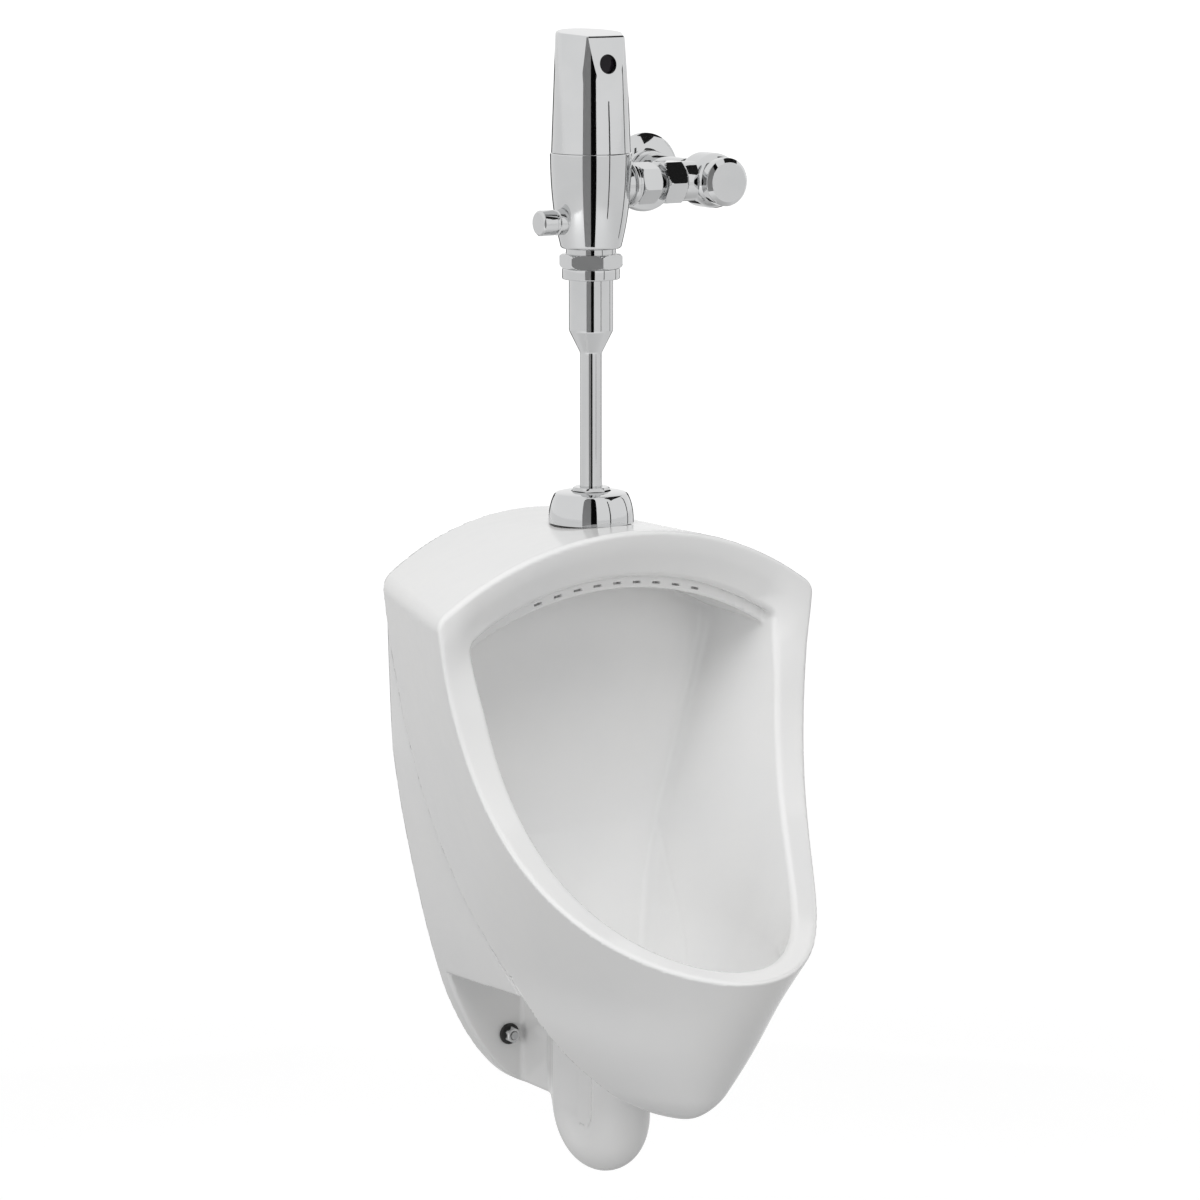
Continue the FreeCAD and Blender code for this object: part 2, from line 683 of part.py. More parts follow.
def scoop_levels():
    for drop in level_drops(N.keel_drop - N.keel_flat):
        near = closing(drop, N.keel_round_drop, N.keel_drop)
        yield level_outline(
            drop,
            skin_width(drop) * near,
            skin_flare(drop) * near,
            -N.plate,
            N.nose_start,
            skin_nose(drop),
        )


def bowl_levels():
    lip_inside = N.lip_depth - N.lip_width
    foot = N.bowl_floor_drop + N.lip_width / 3
    for drop in level_drops(N.bowl_floor_drop):
        near = closing(drop, N.lip_drop, foot)
        low = max(0.0, (drop - N.bowl_slope_drop) / (N.bowl_floor_drop - N.bowl_slope_drop))
        back = N.bowl_back + (N.bowl_floor_back - N.bowl_back) * low**2
        nose = skin_nose(drop) - N.lip_width
        if drop > N.lip_drop:
            fall = (drop - N.lip_drop) / (N.bowl_floor_drop - N.lip_drop)
            nose = lip_inside - (lip_inside - N.bowl_floor_front) * fall**1.5
        flare = skin_flare(drop) * N.bowl_flare_share - N.bowl_flare_loss
        inset = N.bowl_inset + (N.bowl_top_inset - N.bowl_inset) * max(0.0, bow(drop))
        half_width = (skin_width(drop) - inset) * near
        corner = min(N.bowl_corner, half_width / 2)
        start = max(N.nose_start, back + corner + N.bowl_inset)
        yield level_outline(drop, half_width, flare * near, back, start, nose, corner)


def arch(apex_drop, corner_drop, half_width, depth):
    """An upright outline whose top is an arc through an apex and two corners."""
    sag = corner_drop - apex_drop
    radius = (half_width**2 + sag**2) / (2 * sag)
    reach = min(ARCH_PAST_CORNER * half_width, ARCH_PART_OF_RADIUS * radius)
    ends = level(apex_drop + radius - math.sqrt(radius**2 - reach**2))
    foot = level(2 * N.keel_drop)
    top = Part.Arc(
        Vector(reach, -depth, ends), Vector(0, -depth, level(apex_drop)), Vector(-reach, -depth, ends)
    )
    corners = [
        Vector(-reach, -depth, ends),
        Vector(-reach, -depth, foot),
        Vector(reach, -depth, foot),
        Vector(reach, -depth, ends),
    ]
    lines = [Part.makeLine(a, b) for a, b in zip(corners, corners[1:])]
    return Part.Wire([top.toShape()] + lines)


def arch_bar(apex_drop, corner_drop, half_width, near_depth, far_depth):
    """The arch carried straight out from the wall between two depths."""
    face = Part.Face(arch(apex_drop, corner_drop, half_width, near_depth))
    return face.extrude(Vector(0, near_depth - far_depth, 0))


def outer_arch():
    """Top of the china: the arch widens and drops away from the wall."""
    wires = []
    for depth in (-N.plate, N.lip_depth + N.plate):
        out = depth / N.rim_depth
        half_width = N.skin_top_width + (N.rim_top_width - N.skin_top_width) * out
        corner = N.wall_corner_drop + (N.corner_drop - N.wall_corner_drop) * out
        wires.append(arch(0, corner, half_width, depth))
    return Part.makeLoft(wires, True, True)


def side_bar(edges):
    """A side view outline carried across the whole width."""
    half = 2 * N.rim_top_width
    face = Part.Face(Part.Wire(edges))
    face.translate(Vector(-half, 0, 0))
    return face.extrude(Vector(2 * half, 0, 0))


def side_point(depth, drop):
    return Vector(0, -depth, level(drop))


def side_lines(*points):
    return [Part.makeLine(a, b) for a, b in zip(points, points[1:])]


def bent(*poles):
    curve = Part.BezierCurve()
    curve.setPoles(list(poles))
    return curve.toShape()


def rim_bar():
    """What the rim leaves open: everything in front of its sweep."""
    sky, far = -N.corner_drop, 2 * N.lip_depth
    top = side_point(N.hood_depth + N.rim_round, sky)
    lean = side_point(N.rim_depth, 0)
    corner = side_point(N.rim_depth, N.corner_drop)
    slope = math.radians(N.lip_slope)
    lip = side_point(N.lip_depth, N.lip_drop)
    steep = side_point(N.rim_depth, N.corner_drop + N.rim_handle)
    flat = lip + Vector(0, math.cos(slope), math.sin(slope)) * N.lip_handle
    beyond = lip - Vector(0, math.cos(slope), math.sin(slope)) * N.lip_depth
    outer = side_lines(lip, beyond, side_point(far, sky), top)
    return side_bar([bent(top, lean, corner), bent(corner, steep, flat, lip)] + outer)


def crease_curve(forward):
    """Back edge of the scoop in side view, moved forward by a little where wanted."""
    start = side_point(N.crease_start + forward, N.crease_drop)
    end = side_point(N.keel_depth + forward, N.keel_drop)
    one = side_point(N.crease_bend_one_depth + forward, N.crease_bend_one)
    two = side_point(N.crease_bend_two_depth + forward, N.crease_bend_two)
    return start, bent(start, one, two, end), end, end - two


def scoop_bar():
    """Everything in front of the scoop's back edge."""
    start, curve, end, along = crease_curve(0)
    far = end + along
    wall_top = side_point(0, -N.corner_drop)
    wall_low = side_point(0, N.crease_drop - 2 * N.crease_start)
    front = side_point(-far.y, -N.corner_drop)
    return side_bar([curve] + side_lines(end, far, front, wall_top, wall_low, start))


def box_bar():
    """Everything behind the scoop's back edge, reaching a little into the scoop."""
    start, curve, end, along = crease_curve(N.box_overlap)
    low = side_point(0, 2 * N.keel_drop)
    under = Vector(0, end.y, low.z)
    wall = Vector(0, 0, start.z)
    return side_bar([curve] + side_lines(end, under, low, wall, start))


def shield():
    """Outline of the back box on the wall."""
    right = [
        (N.box_top_width, N.crease_drop),
        (N.box_mid_width, N.box_mid_drop),
        (N.box_waist_width, N.box_waist_drop),
        (N.box_low_width, N.box_low_drop),
        (N.box_foot_width, N.box_foot_drop),
    ]
    points = [Vector(x, 0, level(drop)) for x, drop in right]
    points.append(Vector(0, 0, level(N.box_end_drop)))
    points += [Vector(-p.x, 0, p.z) for p in reversed(points[:-1])]
    curve = Part.BSplineCurve()
    curve.interpolate(Points=points, InitialTangent=Vector(0, 0, -1), FinalTangent=UP)
    face = Part.Face(Part.Wire([curve.toShape(), Part.makeLine(points[-1], points[0])]))
    return face.extrude(FRONT * N.keel_depth)


def trap_path(start_drop, end_depth):
    """Centre line of the waterway: down, round the trap and back to the wall."""
    middle = (N.trap_front + N.trap_back) / 2
    bend = (N.trap_front - N.trap_back) / 2
    elbow = N.trap_elbow
    start = side_point(N.trap_front, start_drop)
    down = side_point(N.trap_front, N.trap_drop)
    bottom = side_point(middle, N.trap_drop + bend)
    up = side_point(N.trap_back, N.trap_drop)
    turn = side_point(N.trap_back, N.outlet_drop + elbow)
    knee = math.sqrt(0.5) * elbow
    middle_turn = side_point(N.trap_back - elbow + knee, N.outlet_drop + elbow - knee)
    out = side_point(N.trap_back - elbow, N.outlet_drop)
    end = side_point(end_depth, N.outlet_drop)
    return Part.Wire(
        [
            Part.makeLine(start, down),
            Part.Arc(down, bottom, up).toShape(),
            Part.makeLine(up, turn),
            Part.Arc(turn, middle_turn, out).toShape(),
            Part.makeLine(out, end),
        ]
    )


def trap_tube(radius, start_drop, end_depth):
    path = trap_path(start_drop, end_depth)
    ring = Part.Wire(Part.makeCircle(radius, side_point(N.trap_front, start_drop), UP))
    return path.makePipeShell([ring], True, False)


def flush_channel():
    """Arched waterway in the hood, with slots that wash the bowl."""
    low_floor = N.arch_band + N.channel_step - N.channel_floor
    sag = N.arch_corner_drop - N.arch_band
    front = N.rim_depth - N.hood_lip - N.channel_wall
    back = N.bowl_back + N.channel_floor
    span = 2 * N.channel_half_width
    upper = arch_bar(N.channel_wall, N.channel_wall + sag, N.arch_half_width, back, front)
    lower = arch_bar(low_floor, low_floor + sag, N.arch_half_width, back, front)
    width = Part.makeBox(
        span, front - back, N.keel_drop, Vector(-N.channel_half_width, -front, level(N.keel_drop))
    )
    channel = upper.cut(lower).common(width)
    radius = (N.arch_half_width**2 + sag**2) / (2 * sag)
    slots = []
    for number in range(int(N.slot_count)):
        across = (number - (N.slot_count - 1) / 2) * N.slot_pitch
        sink = radius - math.sqrt(radius**2 - across**2)
        corner = Vector(
            across - N.slot_width / 2,
            -(front + N.channel_wall + N.slot_height),
            level(low_floor + sink),
        )
        slots.append(
            Part.makeBox(N.slot_width, N.channel_wall + 3 * N.slot_height, N.slot_height, corner)
        )
    return channel.fuse(slots)


def urinal_body():
    """The china: scoop, back box, sump and trap, less the bowl and its waterways."""
    skin = feature("scoop_skin", Part.makeLoft(list(scoop_levels()), True, False))
    scoop = common("scoop", skin, feature("top_arch", outer_arch()), feature("scoop_side", scoop_bar()))
    scoop = cut("open_scoop", scoop, feature("rim_sweep", rim_bar()))

    back = common("back_block", feature("back_shield", shield()), feature("box_side", box_bar()))
    reach = S.keel_depth
    low = S.outlet_drop - S.keel_drop * 2
    height = S.keel_drop * 2 - S.recess_drop
    wide = S.box_top_width * 2
    recesses = [
        box("right_recess", wide, reach, height, (S.web_half_width, -S.plate - reach, low)),
        box("left_recess", wide, reach, height, (-S.web_half_width - wide, -S.plate - reach, low)),
        box("trap_space", wide, reach, height, (-S.box_top_width, -S.trap_back - reach, low)),
    ]
    back = cut("back_box", back, *recesses)

    sump = turned(
        "sump",
        [
            (0, S.outlet_drop - S.sump_drop),
            (S.trap_r, S.outlet_drop - S.sump_drop, S.sump_r),
            (S.sump_r, S.outlet_drop - S.recess_drop),
            (0, S.outlet_drop - S.recess_drop),
        ],
        (0, -S.trap_front, 0),
    )
    trap = feature("trap", trap_tube(N.trap_r, N.sump_drop - N.trap_r, N.plate / 2))
    pad = cylinder("spud_pad", S.pad_r, S.channel_wall, (0, -S.valve_depth, S.outlet_drop - S.channel_wall))
    web = box(
        "trap_web",
        S.trap_web * 2,
        S.trap_front - S.trap_back,
        S.trap_drop - S.recess_drop,
        (-S.trap_web, -S.trap_front, S.outlet_drop - S.trap_drop),
    )
    china = fuse("china_block", scoop, back, sump, trap, web, pad)

    bowl = feature("bowl_skin", Part.makeLoft(list(bowl_levels()), True, False))
    far = N.lip_depth * 2
    lip_back = N.rim_depth - N.hood_lip
    high = arch_bar(N.arch_band, N.arch_corner_drop, N.arch_half_width, lip_back, far)
    low_arch = arch_bar(
        N.arch_band + N.channel_step, N.arch_corner_drop + N.channel_step, N.arch_half_width, 0, far
    )
    ceiling = fuse("ceiling", feature("hood_ceiling", high), feature("bowl_ceiling", low_arch))
    bowl = common("bowl", bowl, ceiling)

    waterway = feature("waterway", trap_tube(N.trap_bore_r, N.bowl_floor_drop - N.plate, 0))
    channel = feature("channel", flush_channel())
    spud_hole = cylinder(
        "spud_hole",
        S.spud_hole_r,
        S.channel_wall * 2,
        (0, -S.valve_depth, S.outlet_drop - S.channel_wall * 2 + S.cut_past),
    )
    outlet_seat = cylinder(
        "outlet_seat", S.outlet_seat_r, S.outlet_seat_depth + S.plate, (0, S.plate, 0), FRONT
    )
    hollow = box(
        "hollow_back",
        S.hollow_half_width * 2,
        S.hollow_depth + S.plate,
        S.hollow_foot_drop - S.hollow_top_drop,
        (-S.hollow_half_width, -S.hollow_depth, S.outlet_drop - S.hollow_foot_drop),
    )
    spud_flat = cylinder(
        "spud_flat",
        S.spud_flange_r + S.loose_gap,
        S.channel_wall,
        (0, -S.valve_depth, S.outlet_drop - S.channel_wall * 2),
    )
    tools = [bowl, waterway, channel, spud_hole, spud_flat, outlet_seat, hollow]
    for side, sign in (("left", -1), ("right", 1)):
        across = S.bolt_half_spacing * sign
        height = S.outlet_drop - S.bolt_drop
        tools.append(
            cylinder(side + "_bolt_hole", S.bolt_hole_r, S.plate * 3, (across, S.plate, height), FRONT)
        )
        tools += hanger_pocket(side, sign)
    return finished(cut("china", china, *tools), "urinal_body")


def hanger_pocket(side, sign):
    """A pocket from the back, with a slot over it behind the china bridge."""
    half = S.hanger_half_width + S.hanger_gap
    left = S.hanger_half_spacing * sign - half
    top = S.outlet_drop - S.hanger_drop
    depth = S.hanger_pocket_depth
    slot = box(
        side + "_hanger_slot",
        half * 2,
        depth - S.hanger_bridge_thickness,
        S.hanger_bridge + S.plate,
        (left, -depth, top - S.hanger_bridge - S.plate),
    )
    pocket_height = S.hanger_pocket_height - S.hanger_bridge
    pocket = box(
        side + "_hanger_pocket",
        half * 2,
        depth + S.plate,
        pocket_height,
        (left, -depth, top - S.hanger_pocket_height),
    )
    return [slot, pocket]


# Fittings on the valve's own axis: the spud, the flush tube and the valve

VALVE = (0, -S.valve_depth, S.outlet_drop)


def ring(name, inner, outer, low, high, at, axis=UP):
    return turned(name, [(inner, low), (outer, low), (outer, high), (inner, high)], at, axis)


def drain_strainer():
    at = (0, -S.trap_front, S.outlet_drop - S.bowl_floor_drop)
    collar = S.trap_bore_r - S.slide_gap
    inner = collar - S.spud_wall
    plate = turned(
        "strainer_plate",
        [
            (inner, -S.strainer_leg),
            (collar, -S.strainer_leg),
            (collar, 0),
            (S.strainer_r, 0),
            (S.strainer_r, S.strainer_thickness),
            (0, S.strainer_thickness),
            (0, 0),
            (inner, 0),
        ],
        at,
    )
    depth = S.strainer_leg + S.strainer_thickness * 2
    holes = [cylinder("strainer_hole", S.strainer_hole_r, depth, (0, at[1], at[2] - S.strainer_leg))]
    count = int(N.strainer_hole_count)
    for i in range(count):
        turn = 2 * math.pi * i / count
        across = S.strainer_ring_r * round(math.cos(turn), 4)
        out = S.strainer_ring_r * round(math.sin(turn), 4)
        spot = (across, at[1] + out, at[2] - S.strainer_leg)
        holes.append(cylinder("strainer_hole", S.strainer_hole_r, depth, spot))
    finished(cut("strainer", plate, *holes), "drain_strainer")


def spud_pieces():
    bore = S.spud_r - S.spud_wall
    under = -S.channel_wall - S.spud_gasket_thickness
    foot = under - S.spud_flange
    spud = turned(
        "spud",
        [
            (bore, foot),
            (S.spud_flange_r, foot),
            (S.spud_flange_r, under),
            (S.spud_r, under),
            (S.spud_r, S.spud_height),
            (bore, S.spud_height),
        ],
        VALVE,
    )
    finished(spud, "inlet_spud")
    thread = S.spud_r + S.thread_gap
    finished(ring("spud_washer", thread, S.spud_flange_r, under, -S.channel_wall, VALVE), "spud_gasket")
    nut = chamfered_hexagon("locknut_hexagon", S.spud_locknut_flats, S.spud_locknut_height, VALVE)
    hole = cylinder("locknut_hole", thread, S.spud_locknut_height, VALVE)
    finished(cut("locknut", nut, hole), "spud_locknut")

    seal_top = S.spud_height + S.slip_gasket_height
    seal = ring("slip_ring", S.tube_r + S.thread_gap, S.spud_r, S.spud_height, seal_top, VALVE)
    finished(seal, "spud_slip_gasket")
    low = S.spud_locknut_height + S.loose_gap
    middle = low + S.coupling_height
    skirt = cylinder("coupling_skirt", S.coupling_r, S.coupling_height, (0, VALVE[1], VALVE[2] + low))
    neck = chamfered_hexagon(
        "coupling_hexagon", S.coupling_flats, S.coupling_neck, (0, VALVE[1], VALVE[2] + middle)
    )
    inside = turned(
        "coupling_inside",
        [
            (0, low),
            (thread, low),
            (thread, seal_top),
            (S.tube_r + S.slide_gap, seal_top),
            (S.tube_r + S.slide_gap, middle + S.coupling_neck),
            (0, middle + S.coupling_neck),
        ],
        VALVE,
    )
    finished(cut("coupling", fuse("coupling_block", skirt, neck), inside), "spud_coupling_nut")

    hole_r = S.coupling_flats / math.sqrt(3) + S.slide_gap
    top = S.escutcheon_side + S.escutcheon_dome
    wall = S.escutcheon_wall
    cover = turned(
        "bell",
        [
            (S.escutcheon_r - wall, 0),
            (S.escutcheon_r, 0, S.escutcheon_side_round),
            (S.escutcheon_top_r, S.escutcheon_side, S.escutcheon_side_round),
            (hole_r, top),
            (hole_r, top - wall),
            (S.escutcheon_top_r - wall, S.escutcheon_side - wall),
        ],
        VALVE,
    )
    finished(cover, "spud_escutcheon")


def tube_pieces():
    flange_low = S.nut_base + S.nut_floor
    flange_top = flange_low + S.tube_flange
    taper_top = S.taper_base + S.taper_height
    bore = S.tube_r - S.tube_wall
    wide_bore = S.breaker_r - S.tube_wall
    tube = turned(
        "tube",
        [
            (bore, -S.tube_insert),
            (S.tube_r, -S.tube_insert),
            (S.tube_r, S.taper_base),
            (S.breaker_r, taper_top),
            (S.breaker_r, flange_low),
            (S.tube_flange_r, flange_low),
            (S.tube_flange_r, flange_top),
            (wide_bore, flange_top),
            (wide_bore, taper_top),
            (bore, S.taper_base),
        ],
        VALVE,
    )
    finished(tube, "flush_tube")

    cage_r = wide_bore - S.slide_gap
    cage_bore = cage_r - S.breaker_wall
    cage_top = flange_top + S.breaker_flange
    cage = turned(
        "cage",
        [
            (cage_bore, flange_top - S.breaker_length),
            (cage_r, flange_top - S.breaker_length),
            (cage_r, flange_top),
            (S.tube_flange_r, flange_top),
            (S.tube_flange_r, cage_top),
            (cage_bore, cage_top),
        ],
        VALVE,
    )
    port_low = VALVE[2] + flange_top - S.breaker_port_drop
    half_port = S.breaker_port / 2
    port = S.breaker_length / 2
    ports = [
        box("cage_port", cage_r * 2, S.breaker_port, port, (-cage_r, VALVE[1] - half_port, port_low)),
        box("cage_port", S.breaker_port, cage_r * 2, port, (-half_port, VALVE[1] - cage_r, port_low)),
    ]
    finished(cut("cage_open", cage, *ports), "vacuum_breaker_body")

    sock_r = cage_bore - S.slide_gap
    sock_top = cage_top + S.sleeve_flange
    sock = turned(
        "sock",
        [
            (sock_r - S.sleeve_wall, cage_top - S.sleeve_length),
            (sock_r, cage_top - S.sleeve_length),
            (sock_r, cage_top),
            (S.tube_flange_r, cage_top),
            (S.tube_flange_r, sock_top),
            (sock_r - S.sleeve_wall, sock_top),
        ],
        VALVE,
    )
    finished(sock, "vacuum_breaker_sleeve")

    skirt_top = S.nut_base + S.nut_skirt
    nut_top = skirt_top + S.nut_hex
    nut_inner = S.breaker_r + S.slide_gap
    skirt = cylinder("nut_round", S.nut_skirt_r, S.nut_skirt, (0, VALVE[1], VALVE[2] + S.nut_base))
    hexes = chamfered_hexagon("nut_hexagon", S.nut_flats, S.nut_hex, (0, VALVE[1], VALVE[2] + skirt_top))
    inside = turned(
        "nut_inside",
        [
            (0, S.nut_base),
            (nut_inner, S.nut_base),
            (nut_inner, flange_low),
            (S.spigot_r + S.thread_gap, flange_low),
            (S.spigot_r + S.thread_gap, nut_top),
            (0, nut_top),
        ],
        VALVE,
    )
    finished(cut("nut", fuse("nut_block", skirt, hexes), inside), "outlet_coupling_nut")
    return sock_top, nut_top


def valve_pieces(spigot_end, nut_top):
    foot = nut_top + S.body_neck
    seam = foot + S.body_height
    supply = (0, VALVE[1], VALVE[2] + S.supply_height)
    button = (0, VALVE[1], VALVE[2] + S.button_height)
    barrel = turned(
        "barrel",
        [
            (0, spigot_end),
            (S.spigot_r, spigot_end),
            (S.spigot_r, foot),
            (S.body_foot_r - S.body_foot_round, foot, S.body_foot_round),
            (S.body_foot_r, foot + S.body_foot_round, S.body_side_round),
            (S.body_seam_r, seam),
            (0, seam),
        ],
        VALVE,
    )
    boss = cylinder("inlet_neck", S.inlet_boss_r, S.inlet_boss, supply, RIGHT)
    bead_at = (S.inlet_boss - S.inlet_ring * 2, supply[1], supply[2])
    bead = cylinder("inlet_bead", S.inlet_ring_r, S.inlet_ring, bead_at, RIGHT)
    riser_top = S.seat_height - S.seat_ring
    chamber = turned(
        "chamber",
        [
            (0, spigot_end),
            (S.outlet_bore_r, spigot_end),
            (S.outlet_bore_r, riser_top),
            (S.riser_r, riser_top),
            (S.riser_r, S.chamber_floor),
            (S.chamber_r, S.chamber_floor),
            (S.chamber_r, S.bonnet_seat),
            (S.bonnet_bore_r, S.bonnet_seat),
            (S.bonnet_bore_r, seam),
            (0, seam),
        ],
        VALVE,
    )
    thread_start = S.inlet_boss - S.tail_thread
    inlet = turned(
        "inlet_way",
        [
            (0, S.inlet_bore_end),
            (S.inlet_bore_r, S.inlet_bore_end),
            (S.inlet_bore_r, thread_start),
            (S.tail_r + S.thread_gap, thread_start),
            (S.tail_r + S.thread_gap, S.inlet_boss),
            (0, S.inlet_boss),
        ],
        supply,
        RIGHT,
    )
    pocket = S.button_floor - S.stem_seal
    recess = turned(
        "button_recess",
        [
            (0, 0),
            (S.stem_r + S.stem_gap, 0),
            (S.stem_r + S.stem_gap, pocket),
            (S.stem_seal_r, pocket),
            (S.stem_seal_r, S.button_floor),
            (S.button_r + S.slide_gap, S.button_floor),
            (S.button_r + S.slide_gap, S.button_face),
            (0, S.button_face),
        ],
        button,
        LEFT,
    )
    block = fuse("valve_block", barrel, boss, bead)
    finished(cut("valve", block, chamber, inlet, recess), "valve_body")

    knob = turned(
        "button",
        [
            (0, S.stem_end),
            (S.stem_r, S.stem_end),
            (S.stem_r, S.button_inner),
            (S.button_r, S.button_inner),
            (S.button_r, S.button_face - S.button_round, S.button_round),
            (S.button_r - S.button_round, S.button_face),
            (0, S.button_face),
        ],
        button,
        LEFT,
    )
    finished(knob, "override_button")
    stem_ring = ring(
        "stem_ring",
        S.stem_r + S.stem_gap,
        S.stem_seal_r - S.thread_gap,
        pocket,
        S.button_floor,
        button,
        LEFT,
    )
    finished(stem_ring, "button_seal")
    finished(ring("seat", S.outlet_bore_r, S.riser_r, riser_top, S.seat_height, VALVE), "main_seat")

    seal_low = S.seat_height + S.slide_gap
    piston_low = seal_low + S.piston_seal
    crown = piston_low + S.piston_foot
    groove = crown + (S.piston_height - S.cup_groove) / 2
    finished(
        cylinder("seal_disc", S.piston_foot_r, S.piston_seal, (0, VALVE[1], VALVE[2] + seal_low)),
        "piston_seal",
    )
    piston = turned(
        "piston",
        [
            (0, piston_low),
            (S.piston_foot_r, piston_low),
            (S.piston_foot_r, crown),
            (S.piston_r, crown),
            (S.piston_r, groove),
            (S.cup_groove_r, groove),
            (S.cup_groove_r, groove + S.cup_groove),
            (S.piston_r, groove + S.cup_groove),
            (S.piston_r, crown + S.piston_height),
            (0, crown + S.piston_height),
        ],
        VALVE,
    )
    finished(piston, "flush_piston")
    cup = ring(
        "cup",
        S.cup_groove_r + S.thread_gap,
        S.piston_r,
        groove + S.thread_gap,
        groove + S.cup_groove - S.thread_gap,
        VALVE,
    )
    finished(cup, "piston_cup_seal")

    cup_r = S.piston_r + S.slide_gap
    skirt_r = S.bonnet_bore_r - S.bonnet_skirt_gap
    skirt_low = S.bonnet_seat + S.bonnet_skirt_gap
    cord_low = skirt_low + (seam - skirt_low - S.o_ring_groove) / 2
    groove_r = skirt_r - S.o_ring_depth
    dome = seam + S.bonnet_dome
    dome_r = cup_r + S.bonnet_wall
    lid = turned(
        "lid",
        [
            (cup_r, skirt_low),
            (skirt_r, skirt_low),
            (skirt_r, cord_low),
            (groove_r, cord_low),
            (groove_r, cord_low + S.o_ring_groove),
            (skirt_r, cord_low + S.o_ring_groove),
            (skirt_r, seam),
            (S.bonnet_flange_r, seam),
            (S.bonnet_flange_r, seam + S.bonnet_flange),
            (dome_r, seam + S.bonnet_flange),
            (dome_r, dome),
            (0, dome),
            (0, dome - S.bonnet_wall),
            (cup_r, dome - S.bonnet_wall),
        ],
        VALVE,
    )
    finished(lid, "bonnet")
    cord_at = (0, VALVE[1], VALVE[2] + cord_low + S.o_ring_groove / 2)
    finished(torus("lid_ring", groove_r + S.o_ring_r + S.thread_gap, S.o_ring_r, cord_at), "bonnet_o_ring")
    return seam, dome, supply


def rounded_block(name, half_width, front, back, round_r, low, height):
    """An upright block with rounded corners, measured from the valve's axis."""
    outline = [
        (-half_width + round_r, -front),
        (half_width - round_r, -front, round_r),
        (half_width, -front + round_r),
        (half_width, back - round_r, round_r),
        (half_width - round_r, back),
        (-half_width + round_r, back, round_r),
        (-half_width, back - round_r),
        (-half_width, -front + round_r, round_r),
    ]
    return padded(name, "XY_Plane", outline, height, (0, VALVE[1], VALVE[2] + low))


def electronics(dome):
    coil_at = (0, VALVE[1] - S.coil_offset, VALVE[2] + dome)
    bore = S.plunger_r + S.slide_gap
    coil = turned(
        "coil",
        [
            (bore, 0),
            (S.coil_r, 0),
            (S.coil_r, S.coil_height),
            (0, S.coil_height),
            (0, S.coil_bore),
            (bore, S.coil_bore),
        ],
        coil_at,
    )
    finished(coil, "solenoid_coil")
    plunger_at = (0, coil_at[1], coil_at[2] + S.slide_gap)
    finished(cylinder("plunger", S.plunger_r, S.plunger_height, plunger_at), "solenoid_plunger")

    back = S.module_depth - S.module_front
    module = rounded_block(
        "module",
        S.module_half_width,
        S.module_front,
        back,
        S.module_round,
        dome + S.coil_height,
        S.module_height,
    )
    finished(module, "sensor_module")
    window_height = VALVE[2] + dome + S.coil_height + S.module_height - S.window_drop
    window_at = (0, VALVE[1] - S.module_front, window_height)
    finished(cylinder("window", S.window_r, S.window_thickness, window_at, FRONT), "sensor_window")

    half = S.battery_width / 2
    gap = S.holder_gap
    wall = S.holder_wall + gap
    cell_back = S.battery_back + S.battery_depth
    cell = rounded_block(
        "cell", half, -S.battery_back, cell_back, S.module_round, dome + wall, S.battery_height
    )
    finished(cell, "battery")
    outer = rounded_block(
        "tray_block",
        half + wall,
        wall - S.battery_back,
        cell_back + wall,
        S.module_round + wall,
        dome,
        S.holder_height,
    )
    inner = rounded_block(
        "tray_room",
        half + gap,
        gap - S.battery_back,
        cell_back + gap,
        S.module_round + gap,
        dome + S.holder_wall,
        S.holder_height,
    )
    finished(cut("tray", outer, inner), "battery_holder")
    return window_at


def cover_block(seam, inset):
    """The cover's outline as a solid, drawn in by a wall thickness where wanted."""
    low = N.outlet_drop + seam.value + N.slide_gap
    high = low + N.cover_height
    axis = Vector(0, -N.valve_depth, low)
    lean = (N.cover_top_r - N.cover_foot_r) / N.cover_height
    reach = N.cover_height + N.cover_foot_r
    shape = Part.makeCone(N.cover_foot_r - inset, N.cover_foot_r - inset + lean * reach, reach, axis, UP)
    slope = math.radians(N.cover_top_slope)
    planes = [(0, Vector(0, -math.sin(slope), math.cos(slope)))]
    planes.append((N.facet_top, facing(0, N.facet_slope)))
    planes.append((N.cheek_top, facing(N.cheek_turn, N.cheek_slope)))
    planes.append((N.cheek_top, facing(-N.cheek_turn, N.cheek_slope)))
    for distance, normal in planes:
        level_way = Vector(normal.x, normal.y, 0).normalize()
        point = Vector(0, -N.valve_depth, high) + level_way * distance - normal * inset
        slab = Part.makeBox(4 * reach, 4 * reach, 4 * reach, Vector(-2 * reach, -2 * reach, 0))
        slab.Placement = Placement(point, Rotation(UP, normal))
        shape = shape.cut(slab)
    return shape


def facing(turn_degrees, lean_degrees):
    """A direction turned from the front and tipped upwards."""
    turn, lean = math.radians(turn_degrees), math.radians(lean_degrees)
    return Vector(
        math.sin(turn) * math.cos(lean), -math.cos(turn) * math.cos(lean), math.sin(lean)
    )


